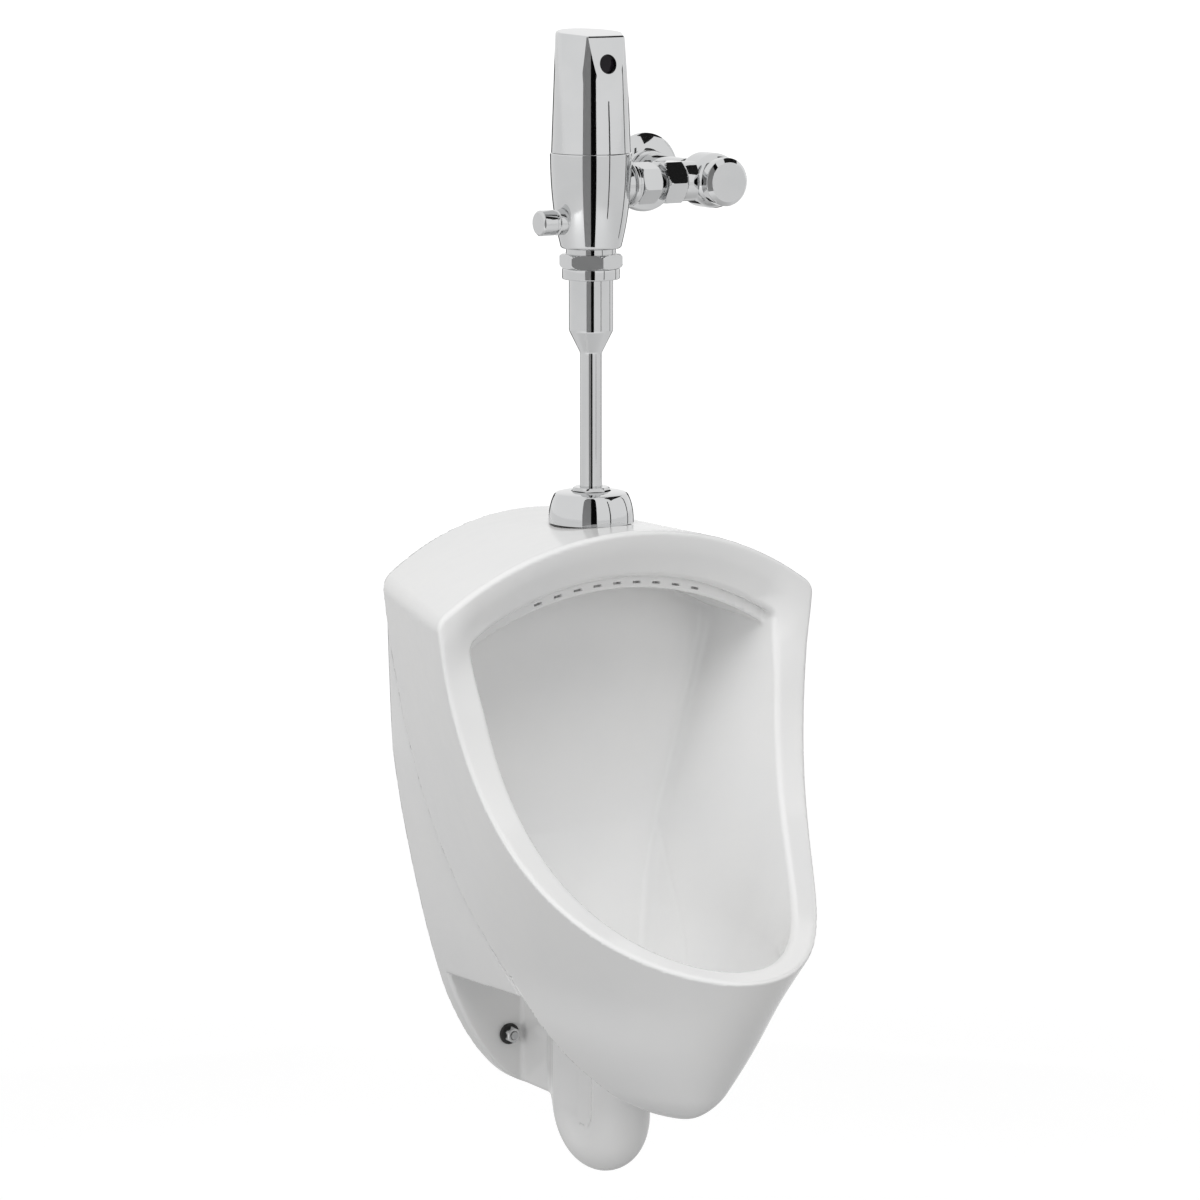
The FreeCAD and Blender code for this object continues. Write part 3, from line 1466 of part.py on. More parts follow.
def cover_pieces(seam, window_at):
    outside = feature("cover_outside", cover_block(seam, 0))
    inside = feature("cover_inside", cover_block(seam, N.cover_wall))
    reach = S.cover_foot_r * 2
    hole = cylinder(
        "window_hole",
        S.window_r + S.window_gap,
        reach,
        window_at,
        FRONT,
    )
    screw_height = VALVE[2] + seam + S.cover_screw_height
    screw_hole = cylinder(
        "screw_hole", S.cover_screw_r + S.thread_gap, reach, (0, VALVE[1], screw_height), BACK
    )
    finished(cut("cover", outside, inside, hole, screw_hole), "sensor_cover")
    dome_r = S.piston_r + S.slide_gap + S.bonnet_wall
    screw_start = dome_r + S.slide_gap
    screw = cylinder(
        "set_screw",
        S.cover_screw_r,
        S.cover_foot_r - screw_start,
        (0, VALVE[1] + screw_start, screw_height),
        BACK,
    )
    finished(screw, "cover_screw")


# Supply: tailpiece, control stop and the covers on the wall


def tail_pieces(supply):
    start = S.inlet_boss - S.tail_thread
    collar_start = S.inlet_boss + S.slide_gap
    bore = S.inlet_bore_r
    lock_low = S.tail_nut_base + S.tail_nut_lid + S.lock_ring
    seal_low = S.tail_end - S.tail_thread
    pipe = turned(
        "tail_pipe",
        [
            (bore, start),
            (S.tail_r, start),
            (S.tail_r, lock_low),
            (S.lock_groove_r, lock_low),
            (S.lock_groove_r, lock_low + S.lock_ring),
            (S.tail_r, lock_low + S.lock_ring),
            (S.tail_r, seal_low),
            (S.tail_ring_groove_r, seal_low),
            (S.tail_ring_groove_r, seal_low + S.tail_ring_groove),
            (S.tail_r, seal_low + S.tail_ring_groove),
            (S.tail_r, S.tail_end),
            (bore, S.tail_end),
        ],
        supply,
        RIGHT,
    )
    collar_at = (collar_start, supply[1], supply[2])
    collar = chamfered_hexagon("tail_hexagon", S.tail_collar_flats, S.tail_collar, collar_at, RIGHT)
    collar_bore = cylinder("tail_collar_bore", bore, S.tail_collar, collar_at, RIGHT)
    finished(fuse("tail", pipe, cut("tail_collar", collar, collar_bore)), "tailpiece")

    snap = ring(
        "snap_ring",
        S.lock_groove_r + S.thread_gap,
        S.lock_ring_r,
        lock_low + S.thread_gap,
        lock_low + S.lock_ring - S.thread_gap,
        supply,
        RIGHT,
    )
    finished(snap, "tail_lock_ring")
    cord_at = (seal_low + S.tail_ring_groove / 2, supply[1], supply[2])
    cord_r = S.tail_ring_groove_r + S.tail_ring_r + S.thread_gap
    cord = torus("tail_cord", cord_r, S.tail_ring_r, cord_at, RIGHT)
    finished(cord, "tail_o_ring")

    nut_at = (S.tail_nut_base, supply[1], supply[2])
    nut = chamfered_hexagon("tail_nut_hexagon", S.tail_nut_flats, S.tail_nut, nut_at, RIGHT)
    inside = turned(
        "tail_nut_inside",
        [
            (0, 0),
            (S.tail_r + S.slide_gap, 0),
            (S.tail_r + S.slide_gap, S.tail_nut_lid),
            (S.stop_thread_r + S.thread_gap, S.tail_nut_lid),
            (S.stop_thread_r + S.thread_gap, S.tail_nut),
            (0, S.tail_nut),
        ],
        nut_at,
        RIGHT,
    )
    finished(cut("tail_nut", nut, inside), "tail_coupling_nut")


def stop_pieces(supply):
    at = (S.stop_offset, supply[1], supply[2])
    front = S.stop_front + S.stop_nose
    block = turned(
        "stop_block",
        [
            (0, -S.stop_back),
            (S.stop_back_r, -S.stop_back),
            (S.stop_back_r, -S.stop_seat - S.stop_seat_depth, S.stop_round),
            (S.stop_r, -S.stop_middle),
            (S.stop_r, S.stop_middle, S.stop_round),
            (S.stop_nose_r, S.stop_front),
            (S.stop_nose_r, front),
            (0, front),
        ],
        at,
        FRONT,
    )
    collar_end = S.tail_nut_base + S.tail_nut + S.slide_gap
    collar = cylinder("stop_collar", S.stop_collar_r, S.stop_offset - collar_end, at, LEFT)
    thread_end = collar_end - S.slide_gap - S.stop_thread
    thread = cylinder("stop_thread", S.stop_thread_r, S.stop_offset - thread_end, at, LEFT)
    seat_back = -S.stop_seat_depth - S.stop_seat
    inside = turned(
        "stop_inside",
        [
            (0, -S.stop_back),
            (S.stop_inlet_r, -S.stop_back),
            (S.stop_inlet_r, seat_back),
            (S.stop_seat_r, seat_back),
            (S.stop_seat_r, -S.stop_seat_depth),
            (S.stop_chamber_r, -S.stop_seat_depth),
            (S.stop_chamber_r, front),
            (0, front),
        ],
        at,
        FRONT,
    )
    tail_room = S.tail_ring_groove_r + S.tail_ring_r * 2 + S.thread_gap * 2
    side = turned(
        "stop_side",
        [
            (0, 0),
            (S.inlet_bore_r, 0),
            (S.inlet_bore_r, S.stop_offset - S.tail_end - S.loose_gap),
            (tail_room, S.stop_offset - S.tail_end - S.loose_gap),
            (tail_room, S.stop_offset - thread_end),
            (0, S.stop_offset - thread_end),
        ],
        at,
        LEFT,
    )
    finished(cut("stop", fuse("stop_solid", block, collar, thread), inside, side), "stop_body")

    gland_low = front - S.gland
    gland_top = front + S.gland_head
    gland_bore = S.spindle_r + S.spindle_gap
    gland_r = S.stop_chamber_r - S.thread_gap
    gland_head_r = S.stop_nose_r - S.loose_gap
    gland = turned(
        "gland",
        [
            (gland_bore, gland_low),
            (gland_r, gland_low),
            (gland_r, front),
            (gland_head_r, front),
            (gland_head_r, gland_top),
            (gland_bore, gland_top),
        ],
        at,
        FRONT,
    )
    finished(gland, "stop_bonnet")

    spindle_top = gland_top + S.spindle_head
    collar_top = gland_low - S.slide_gap
    collar_low = collar_top - S.spindle_collar
    bore = S.plug_stem_r + S.slide_gap
    screw = turned(
        "screw",
        [
            (bore, S.spindle_low),
            (S.spindle_r, S.spindle_low),
            (S.spindle_r, collar_low),
            (S.spindle_collar_r, collar_low),
            (S.spindle_collar_r, collar_top),
            (S.spindle_r, collar_top),
            (S.spindle_r, spindle_top),
            (0, spindle_top),
            (0, spindle_top - S.plug_travel),
            (bore, spindle_top - S.plug_travel),
        ],
        at,
        FRONT,
    )
    slot = box(
        "spindle_cut",
        S.spindle_r * 2,
        S.spindle_slot,
        S.spindle_slot,
        (at[0] - S.spindle_r, at[1] - spindle_top, at[2] - S.spindle_slot / 2),
    )
    finished(cut("spindle", screw, slot), "stop_spindle")

    seal_low = S.slide_gap - S.stop_seat_depth
    plug_low = seal_low + S.plug_seal
    plug_top = plug_low + S.plug
    stem_top = spindle_top - S.plug_travel * 2 - S.plug_seal
    plug = turned(
        "plug",
        [
            (0, plug_low),
            (S.plug_r, plug_low),
            (S.plug_r, plug_top),
            (S.plug_stem_r, plug_top),
            (S.plug_stem_r, stem_top),
            (0, stem_top),
        ],
        at,
        FRONT,
    )
    finished(plug, "stop_plunger")
    seal_at = (at[0], at[1] - seal_low, at[2])
    finished(cylinder("plug_disc", S.plug_r - S.loose_gap, S.plug_seal, seal_at, FRONT), "stop_seal")

    cap_low = S.stop_front + S.slide_gap
    cap_top = cap_low + S.cap_length
    room = S.stop_nose_r + S.slide_gap
    cap = turned(
        "cap",
        [
            (room, cap_low),
            (S.cap_r, cap_low),
            (S.cap_r, cap_top - S.cap_bevel),
            (S.cap_face_r, cap_top),
            (0, cap_top),
            (0, cap_top - S.cap_wall),
            (room, cap_top - S.cap_wall),
        ],
        at,
        FRONT,
    )
    finished(cap, "stop_cap")
    return at


def wall_cover_pieces(at):
    wall = -S.valve_depth
    tube_bore = S.stop_back_r + S.slide_gap
    tube_r = tube_bore + S.cover_tube_wall
    tube = ring(
        "sleeve", tube_bore, tube_r, wall + S.slide_gap, S.cover_tube_overlap - S.stop_back, at, FRONT
    )
    finished(tube, "cover_tube")

    hub_bore = tube_r + S.slide_gap
    hub_top = wall + S.flange_depth
    cone_top = hub_top - S.flange_hub
    flange = turned(
        "rose",
        [
            (S.flange_r - S.flange_wall, wall),
            (S.flange_r, wall),
            (S.flange_r, wall + S.flange_rim),
            (S.flange_hub_r, cone_top),
            (S.flange_hub_r, hub_top),
            (hub_bore, hub_top),
            (hub_bore, cone_top - S.flange_wall),
            (S.flange_r - S.flange_wall, wall + S.flange_wall),
        ],
        at,
        FRONT,
    )
    screw_out = at[1] - hub_top + S.flange_hub / 2
    hole = cylinder(
        "rose_hole",
        S.flange_screw_r + S.thread_gap,
        S.flange_hub_r,
        (at[0], screw_out, at[2]),
        -UP,
    )
    finished(cut("rose_drilled", flange, hole), "wall_flange")
    screw_length = S.flange_hub_r - tube_r - S.thread_gap
    screw = cylinder(
        "rose_screw",
        S.flange_screw_r,
        screw_length,
        (at[0], screw_out, at[2] - tube_r - S.thread_gap),
        -UP,
    )
    finished(screw, "flange_screw")


# Fixings to the wall and the waste


def hanger(side, sign):
    """A steel strip bent into a hook that the china's bridge sits on."""
    steel = S.hanger_steel
    hook = S.outlet_drop - S.hanger_drop - S.hanger_bridge - S.slide_gap
    reach = S.hanger_bridge_thickness + S.hanger_gap / 2
    tip = S.outlet_drop - S.hanger_drop - steel
    foot = S.outlet_drop - S.hanger_drop - S.hanger_pocket_height + S.hanger_gap * 2
    strip = padded(
        side + "_strip",
        "YZ_Plane",
        [
            (-steel, foot),
            (0, foot),
            (0, hook),
            (-reach, hook),
            (-reach, tip),
            (-reach - steel, tip),
            (-reach - steel, hook - steel),
            (-steel, hook - steel),
        ],
        S.hanger_half_width * 2,
        (S.hanger_half_spacing * sign, 0, 0),
        True,
    )
    low_hole = foot + S.hanger_hole_edge
    holes = []
    for height in (low_hole, low_hole + S.hanger_hole_pitch):
        spot = (S.hanger_half_spacing * sign, 0, height)
        holes.append(cylinder(side + "_strip_hole", S.hanger_hole_r, steel, spot, FRONT))
    return cut(side + "_hanger", strip, *holes)


def wall_fixings():
    finished(group("hangers", hanger("left", -1), hanger("right", 1)), "wall_hangers")
    bolts, washers, nuts = [], [], []
    under_nut = S.plate + S.washer_thickness
    end = under_nut + S.bolt_nut_height + S.bolt_end
    hole = S.bolt_thread_r + S.thread_gap
    for side, sign in (("left", -1), ("right", 1)):
        at = (S.bolt_half_spacing * sign, 0, S.outlet_drop - S.bolt_drop)
        bolts.append(
            turned(
                side + "_bolt",
                [
                    (0, -S.bolt_in_wall),
                    (S.bolt_r, -S.bolt_in_wall),
                    (S.bolt_r, S.plate - S.bolt_step),
                    (S.bolt_thread_r, S.plate - S.bolt_step),
                    (S.bolt_thread_r, end),
                    (0, end),
                ],
                at,
                FRONT,
            )
        )
        washers.append(ring(side + "_washer", hole, S.washer_r, S.plate, under_nut, at, FRONT))
        nut_at = (at[0], -under_nut, at[2])
        block = chamfered_hexagon(side + "_nut_block", S.bolt_nut_flats, S.bolt_nut_height, nut_at, FRONT)
        bore = cylinder(side + "_nut_bore", hole, S.bolt_nut_height, nut_at, FRONT)
        nuts.append(cut(side + "_nut", block, bore))
    finished(group("bolts", *bolts), "wall_bolts")
    finished(group("washers", *washers), "bolt_washers")
    finished(group("nuts", *nuts), "bolt_nuts")


def outlet_pieces():
    at = (0, 0, 0)
    inner = S.outlet_seat_depth - S.outlet_gasket_thickness
    rubber_r = S.outlet_seat_r - S.loose_gap
    rubber = ring(
        "outlet_ring", S.trap_bore_r + S.loose_gap, rubber_r, -S.outlet_seat_depth, -inner, at, BACK
    )
    finished(rubber, "outlet_gasket")
    hub_r = S.outlet_r + S.outlet_wall
    step = S.loose_gap / 2
    waste = turned(
        "waste",
        [
            (S.trap_bore_r, -inner),
            (rubber_r, -inner),
            (rubber_r, 0),
            (hub_r, 0),
            (hub_r, S.outlet_socket + step),
            (S.outlet_r, S.outlet_socket + step),
            (S.outlet_r, step),
            (S.trap_bore_r, step),
        ],
        at,
        BACK,
    )
    finished(waste, "outlet_flange")


urinal_body()
drain_strainer()
spud_pieces()
tube_end, nut_top = tube_pieces()
seam, dome, supply = valve_pieces(tube_end, nut_top)
cover_pieces(seam, electronics(dome))
tail_pieces(supply)
wall_cover_pieces(stop_pieces(supply))
wall_fixings()
outlet_pieces()

doc.recompute()
for item in doc.Objects:
    if "Invalid" in item.State or "Error" in item.State:
        raise RuntimeError("%s could not be built" % item.Name)
for item in PARTS:
    if item.Shape.isNull() or not item.Shape.isValid():
        raise RuntimeError("%s is not a sound solid" % item.Label)

os.makedirs("parts", exist_ok=True)
for item in PARTS:
    item.Shape.exportStep("parts/%s.step" % item.Label)
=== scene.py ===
import math

import bmesh
import bpy
import numpy as np
from mathutils import Matrix, Vector


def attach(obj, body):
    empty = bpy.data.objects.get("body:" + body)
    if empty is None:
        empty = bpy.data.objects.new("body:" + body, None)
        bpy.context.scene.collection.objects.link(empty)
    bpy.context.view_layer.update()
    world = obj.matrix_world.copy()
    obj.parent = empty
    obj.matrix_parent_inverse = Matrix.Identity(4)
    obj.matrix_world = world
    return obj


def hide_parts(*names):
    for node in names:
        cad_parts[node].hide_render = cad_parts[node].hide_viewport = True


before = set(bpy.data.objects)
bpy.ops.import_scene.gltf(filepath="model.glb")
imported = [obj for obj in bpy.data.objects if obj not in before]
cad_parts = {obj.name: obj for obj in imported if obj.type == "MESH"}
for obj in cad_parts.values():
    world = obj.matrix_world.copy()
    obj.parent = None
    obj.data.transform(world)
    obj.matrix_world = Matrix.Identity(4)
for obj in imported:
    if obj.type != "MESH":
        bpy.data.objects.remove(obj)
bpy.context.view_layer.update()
MM = 0.001

# Sizes of the china in millimetres: depths from the wall, drops below its top and half widths

CHINA_TOP = 425.0
CORNER_DROP = 64.0
WALL_CORNER_DROP = 53.0
ROOF_HALF = 149.0
ROOF_SPREAD = 44.0
SCOOP_HALF = 109.0
SCOOP_BOW = 40.0
BOW = 0.55
FLARE = 0.0409
FLARE_BOW = 0.2164
FLARE_EASE = 0.02
LEAST_HALF = 5.0
LIP_DROP = 352.0
LIP_DEPTH = 380.0
LIP_WIDTH = 26.0
NOSE_START = 105.0
NOSE_POWER = 2.3
KEEL_DROP = 520.0
KEEL_DEPTH = 268.0
KEEL_START = 415.0
KEEL_FOOT = 504.0
RIM_DEPTH = 171.0
HOOD_DEPTH = 192.0
RIM_SLOPE = math.radians(17)
RIM_FALL = 190.0
RIM_REACH = 120.0
BEYOND_LIP = 300.0
CREASE_HANDLES = [(4, 60), (32, 195), (66, 363), (KEEL_DEPTH, KEEL_DROP)]
CREASE_LAP = 4.0
CREASE_GROOVE = 1.9

# The bowl, the fold in its sides, the hood over it, the band round its mouth and the wash slots

FLOOR_DROP = 445.0
FLOOR_DIP = 6.7
BOWL_BACK = 70.0
BACK_SWEEP = 50.0
BACK_SWEEP_DROP = 240.0
BACK_CORNER = 28.0
FRONT_SWEEP = 130.0
FRONT_POWER = 1.5
BOWL_WALL = 7.0
SIDE_WALL = 4.0
SIDE_WALL_BOW = 7.5
BOWL_FLARE = 0.62
BOWL_FLARE_LESS = 0.038
FOLD = 34.0
FOLD_DROP = 110.0
FOLD_LENGTH = 250.0
FOLD_DEPTH = 200.0
FOLD_REACH = 120.0
BOWL_CORNER_DROP = 87.0
BOWL_CORNER_HALF = 154.0
HOOD_BAND = 42.5
HOOD_STEP = 11.0
HOOD_LIP = 22.0
BAND_SLOPE = 12.0
BAND_LEAST = 0.5
BAND_WIDTH = 31.0
BAND_FADE_DROP = 70.0
BAND_FADE = 75.0
SLOT_COUNT = 9
SLOT_PITCH = 20.0
SLOT_HALF = 3.6
SLOT_HEIGHT = 1.8
SLOT_DROP = 6.0
SLOT_DEPTH = 4.0

# The back box, the recess at its foot, the trap and the hollows in the back

SHIELD_DROPS = [40, 60, 130, 204, 260, 314, 370, 427, 465, 503, 522]
SHIELD_HALVES = [146, 146, 144, 141, 132, 120.6, 107, 89.4, 70.5, 41, 0]
SHIELD_END = 90.0
PLATE = 19.0
RECESS_DROP = 410.0
RECESS_RISE = 0.04
RECESS_HALF = 18.0
TRAP_FRONT = 155.0
TRAP_BACK = 89.0
TRAP_DROP = 518.0
TRAP_R = 25.8
FRONT_LEG_DROP = 430.0
BACK_LEG_DROP = 463.0
WEB_LOW = (-20, TRAP_BACK, FRONT_LEG_DROP)
WEB_HIGH = (20, TRAP_FRONT, TRAP_DROP + 15)
SUMP_DROP = 420.0
SUMP_R = 58.0
LINER_DROP = 395.0
LINER_DEPTH = 215.0
DRAIN_R = 19.0
DRAIN_DROPS = (400.0, 500.0)
SEAT_R = 35.0
SEAT_DEPTH = 12.0
BACK_HOLLOW = ((-92, -20, 196), (92, 44, 352))
HANGER_POCKET = ((52, -20, 130), (98, 16, 180))
HANGER_SLOT = ((52, 6.5, 112), (98, 16, 150))

# Radii of the china's edges and of the hollows between its forms

ROOF_ROUND = 8.0
RIM_ROUND = 4.6
BAND_ROUND = 4.0
FOOT_ROUND = 30.0
CREASE_ROUND = 1.0
GROOVE_ROUND = 0.5
FOLD_ROUND = 10.0
FLOOR_ROUND = 9.0
HOOD_ROUND = 4.0
STEP_ROUND = 2.0
MOUTH_ROUND = 14.0
BOWL_ROUND = 5.0
SLOT_ROUND = 0.6
RECESS_ROUND = 3.0
RECESS_CORNER = 4.0
WEB_ROUND = 10.0
LEG_ROUND = 1.5
SUMP_ROUND = 12.0
OUTLET_ROUND = 9.0
LINER_ROUND = 2.0
SHELL_ROUND = 1.0
WALL_ROUND = 3.5
DRAIN_ROUND = 2.0
HOLLOW_ROUND = 4.0
POCKET_ROUND = 2.0
SEAT_ROUND = 1.5

# Places of the fittings in millimetres in the part's frame

VALVE_DEPTH = 106.0
AXIS = (0, -VALVE_DEPTH, CHINA_TOP)
INLET = (0, -VALVE_DEPTH, 716.0)
STOP = (120.65, -VALVE_DEPTH, 716.0)
BUTTON = (0, -VALVE_DEPTH, 686.0)
BOLT = (-33.0, 0, -47.0)


# Field of the china: negative inside, in millimetres


def round_cut(a, b, radius):
    """What two fields share, with a rounded edge."""
    over_a = np.maximum(a + radius, 0)
    over_b = np.maximum(b + radius, 0)
    return np.minimum(np.maximum(a, b), -radius) + np.sqrt(over_a**2 + over_b**2)


def round_join(a, b, radius):
    """Two fields together, with a rounded hollow between them."""
    return -round_cut(-a, -b, radius)


def carved(body, rooms):
    """A field cut back by some rooms, each with the radius of its edge."""
    for room, radius in rooms:
        body = round_cut(body, -room, radius)
    return body


def growth(field, place, half):
    """How much a field grows along each axis, from a little before a place to a little beyond."""
    rows = []
    for axis in range(3):
        ahead, behind = list(place), list(place)
        ahead[axis] = place[axis] + half
        behind[axis] = place[axis] - half
        rows.append(field(*ahead) - field(*behind))
    return rows


def evened(field, x, d, s):
    """A field divided by its slope, so that its values are near to distances."""
    half = 0.7
    slope = np.sqrt(sum(row**2 for row in growth(field, (x, d, s), half))) / (2 * half)
    return field(x, d, s) / np.maximum(slope, 1e-4)


def bezier(handles, count):
    """Points along the curve that some handles give."""
    t = np.linspace(0, 1, count)[:, None]
    rows = [np.array(handle, float) * np.ones((count, 1)) for handle in handles]
    while len(rows) > 1:
        rows = [a * (1 - t) + b * t for a, b in zip(rows, rows[1:])]
    return rows[0]


def share_of(value, start, length):
    """How far a value is along a stretch, from 0 to 1."""
    return np.clip((value - start) / length, 0, 1)


def bow(s):
    """How far the side bows out at a drop: 0 at the lip, 1 at the corner."""
    rise = (LIP_DROP - s) / (LIP_DROP - CORNER_DROP)
    return (1 + BOW) * rise - BOW * rise**2


def scoop_half(s):
    return SCOOP_HALF + SCOOP_BOW * bow(s)


def scoop_flare(s):
    """How much wider the scoop gets per depth: eased to nothing below the lip."""
    flare = FLARE + FLARE_BOW * bow(s)
    return (flare + np.sqrt(flare**2 + FLARE_EASE**2)) / 2


def scoop_nose(s):
    return LIP_DEPTH + (LIP_DEPTH - KEEL_DEPTH) / (KEEL_DROP - LIP_DROP) * (LIP_DROP - s)


def scoop_side(x, d, s):
    """Outside of the scoop: flared sides that round in to the nose and to the keel."""
    half = np.maximum(scoop_half(s) + scoop_flare(s) * d, LEAST_HALF)
    t = np.maximum(d - NOSE_START, 0) / (scoop_nose(s) - NOSE_START)
    k = share_of(s, KEEL_START, KEEL_DROP - KEEL_START)
    return (x / half) ** 2 - (1 - t**NOSE_POWER) * (1 - k**2)


def under_arch(x, s, apex, corner_drop, half_width):
    """Under the round arch through an apex and two corners."""
    sag = corner_drop - apex
    radius = (half_width**2 + sag**2) / (2 * sag)
    centre = apex + radius
    return np.where(s < centre, np.sqrt(x**2 + (s - centre) ** 2), np.abs(x)) - radius


def under_hood(x, s, step=0.0):
    """Under the arch over the bowl's mouth, or a step further down."""
    return under_arch(x, s, HOOD_BAND + step, BOWL_CORNER_DROP + step, BOWL_CORNER_HALF)


def roof(x, d, s):
    """Under the arched roof, which spreads and falls from the wall to the rim."""
    out = d / RIM_DEPTH
    corner = WALL_CORNER_DROP + (CORNER_DROP - WALL_CORNER_DROP) * out
    return under_arch(x, s, 0, corner, ROOF_HALF + ROOF_SPREAD * out)


def rim_line():
    """Depth of the rim at each drop."""
    back = RIM_REACH * math.cos(RIM_SLOPE)
    rise = RIM_REACH * math.sin(RIM_SLOPE)
    corner = (RIM_DEPTH, CORNER_DROP)
    fall = (RIM_DEPTH, CORNER_DROP + RIM_FALL)
    hood = bezier([(HOOD_DEPTH, -CORNER_DROP), (RIM_DEPTH, 0), corner], 200)
    side = bezier([corner, fall, (LIP_DEPTH - back, LIP_DROP - rise), (LIP_DEPTH, LIP_DROP)], 600)
    beyond = [(LIP_DEPTH + BEYOND_LIP, LIP_DROP + BEYOND_LIP * math.tan(RIM_SLOPE))]
    return np.vstack([hood, side[1:], beyond])


def crease_line():
    """Depth of the scoop's back edge at each drop."""
    line = bezier(CREASE_HANDLES, 600)
    beyond = line[-1] + (line[-1] - line[-2]) * 400
    return np.vstack([[(-60, 0)], line, [beyond]])


RIM = rim_line()
CREASE = crease_line()


def before_rim(x, d, s):
    return d - np.interp(s, RIM[:, 1], RIM[:, 0]) + 0 * x


def behind_crease(x, d, s):
    return np.interp(s, CREASE[:, 1], CREASE[:, 0]) - d + 0 * x


def bowl_back(s):
    """Depth of the bowl's back, which sweeps forward to the floor."""
    sweep = np.maximum(0, (s - BACK_SWEEP_DROP) / (FLOOR_DROP - BACK_SWEEP_DROP))
    return BOWL_BACK + BACK_SWEEP * sweep**2


def bowl_side(x, d, s):
    """Inside of the bowl: a wall in from the scoop, with a fold in each side near the back."""
    low = share_of(s, LIP_DROP, FLOOR_DROP - LIP_DROP)
    nose = np.where(s < LIP_DROP, scoop_nose(s), LIP_DEPTH - FRONT_SWEEP * low**FRONT_POWER) - LIP_WIDTH
    start = np.maximum(NOSE_START, bowl_back(s) + BACK_CORNER)
    flare = scoop_flare(s) * BOWL_FLARE - BOWL_FLARE_LESS
    wall = SIDE_WALL + SIDE_WALL_BOW * np.maximum(bow(s), 0)
    fold = FOLD * share_of(s, FOLD_DROP, FOLD_LENGTH) * share_of(-d, -FOLD_DEPTH, FOLD_REACH) ** 2
    half = np.maximum(scoop_half(s) - wall + flare * d - fold, LEAST_HALF)
    t = np.maximum(d - start, 0) / np.maximum(nose - start, 1)
    k = share_of(s, LIP_DROP, FLOOR_DROP + FLOOR_DIP - LIP_DROP)
    return (x / half) ** 2 - (1 - t**NOSE_POWER) * (1 - k**2)


def scoop(x, d, s):
    """The scoop with its rim, and the hollow of the bowl."""
    side = evened(bowl_side, x, d, s)
    high = under_hood(x, s)
    low = under_hood(x, s, HOOD_STEP)
    hollow = round_cut(side, bowl_back(s) - d, FOLD_ROUND)
    hollow = round_cut(hollow, s - FLOOR_DROP, FLOOR_ROUND)
    front = np.maximum(high, RIM_DEPTH - HOOD_LIP - d)
    hollow = round_cut(hollow, round_join(front, low, STEP_ROUND), HOOD_ROUND)

    rim = evened(before_rim, x, d, s)
    slope = BAND_SLOPE * (1 - share_of(s, BAND_FADE_DROP, BAND_FADE)) + BAND_LEAST
    mouth = round_cut(side, high, MOUTH_ROUND)
    band = (rim / slope - mouth / BAND_WIDTH + 1) / np.sqrt(slope**-2 + BAND_WIDTH**-2)
    shell = round_cut(evened(scoop_side, x, d, s), roof(x, d, s), ROOF_ROUND)
    shell = round_cut(shell, rim, RIM_ROUND)
    shell = round_cut(shell, band, BAND_ROUND)
    shell = round_cut(shell, s - KEEL_FOOT, FOOT_ROUND)
    shell = round_cut(shell, evened(behind_crease, x, d, s), CREASE_ROUND)
    return shell, hollow


def wash_slots(x, d, s):
    """Slots in the face under the hood that spread the flush water."""
    nearest = np.round(x / SLOT_PITCH) * SLOT_PITCH
    across = np.maximum(np.abs(x - nearest) - SLOT_HALF, np.abs(x) - SLOT_PITCH * SLOT_COUNT / 2)
    down = np.abs(under_hood(x, s, SLOT_DROP)) - SLOT_HEIGHT / 2
    face = RIM_DEPTH - HOOD_LIP
    return np.maximum(np.maximum(across, down), np.abs(d - face) - SLOT_DEPTH)


def shield_line():
    """Square of the back box's half width at each drop, smoothed."""
    drops = np.linspace(SHIELD_DROPS[0], SHIELD_DROPS[-1], 300)
    squares = np.interp(drops, SHIELD_DROPS, np.array(SHIELD_HALVES, float) ** 2)
    for _ in range(60):
        squares[1:-1] = (squares[:-2] + squares[1:-1] * 2 + squares[2:]) / 4
    return drops, squares


SHIELD = shield_line()


def box_side(x, d, s):
    below = np.maximum(s - SHIELD_DROPS[-1], 0)
    return x**2 - np.interp(s, *SHIELD) + below * SHIELD_END + 0 * d


def trap_legs(x, d, s):
    """The trap's back leg, and its front leg with the bend."""
    middle = (TRAP_FRONT + TRAP_BACK) / 2
    bend = (TRAP_FRONT - TRAP_BACK) / 2
    far_off = 1e3
    front = np.hypot(d - TRAP_FRONT, s - np.clip(s, FRONT_LEG_DROP, TRAP_DROP))
    back = np.hypot(d - TRAP_BACK, s - np.clip(s, BACK_LEG_DROP, TRAP_DROP))
    turn = np.abs(np.hypot(d - middle, s - TRAP_DROP) - bend)
    turn = np.where(s > TRAP_DROP, turn, far_off)
    return np.hypot(x, back) - TRAP_R, np.hypot(x, np.minimum(front, turn)) - TRAP_R


def brick(x, d, s, low, high):
    """A straight block between two corners."""
    across, out, down = [np.abs(v - (a + b) / 2) - (b - a) / 2 for v, a, b in zip((x, d, s), low, high)]
    return np.maximum(np.maximum(across, out), down)


def back_box(x, d, s):
    """The box behind the crease, cut away at its foot but for the plate on the wall and a rib."""
    block = np.maximum(evened(box_side, x, d, s), -evened(behind_crease, x, d, s) - CREASE_LAP)
    block = round_cut(block, roof(x, d, s), ROOF_ROUND)
    shelf = RECESS_DROP - RECESS_RISE * d - s
    side_room = np.maximum(shelf, round_cut(PLATE - d, RECESS_HALF - np.abs(x), RECESS_CORNER))
    trap_room = np.maximum(shelf, TRAP_BACK - d)
    return carved(block, [(side_room, RECESS_ROUND), (trap_room, RECESS_ROUND)])


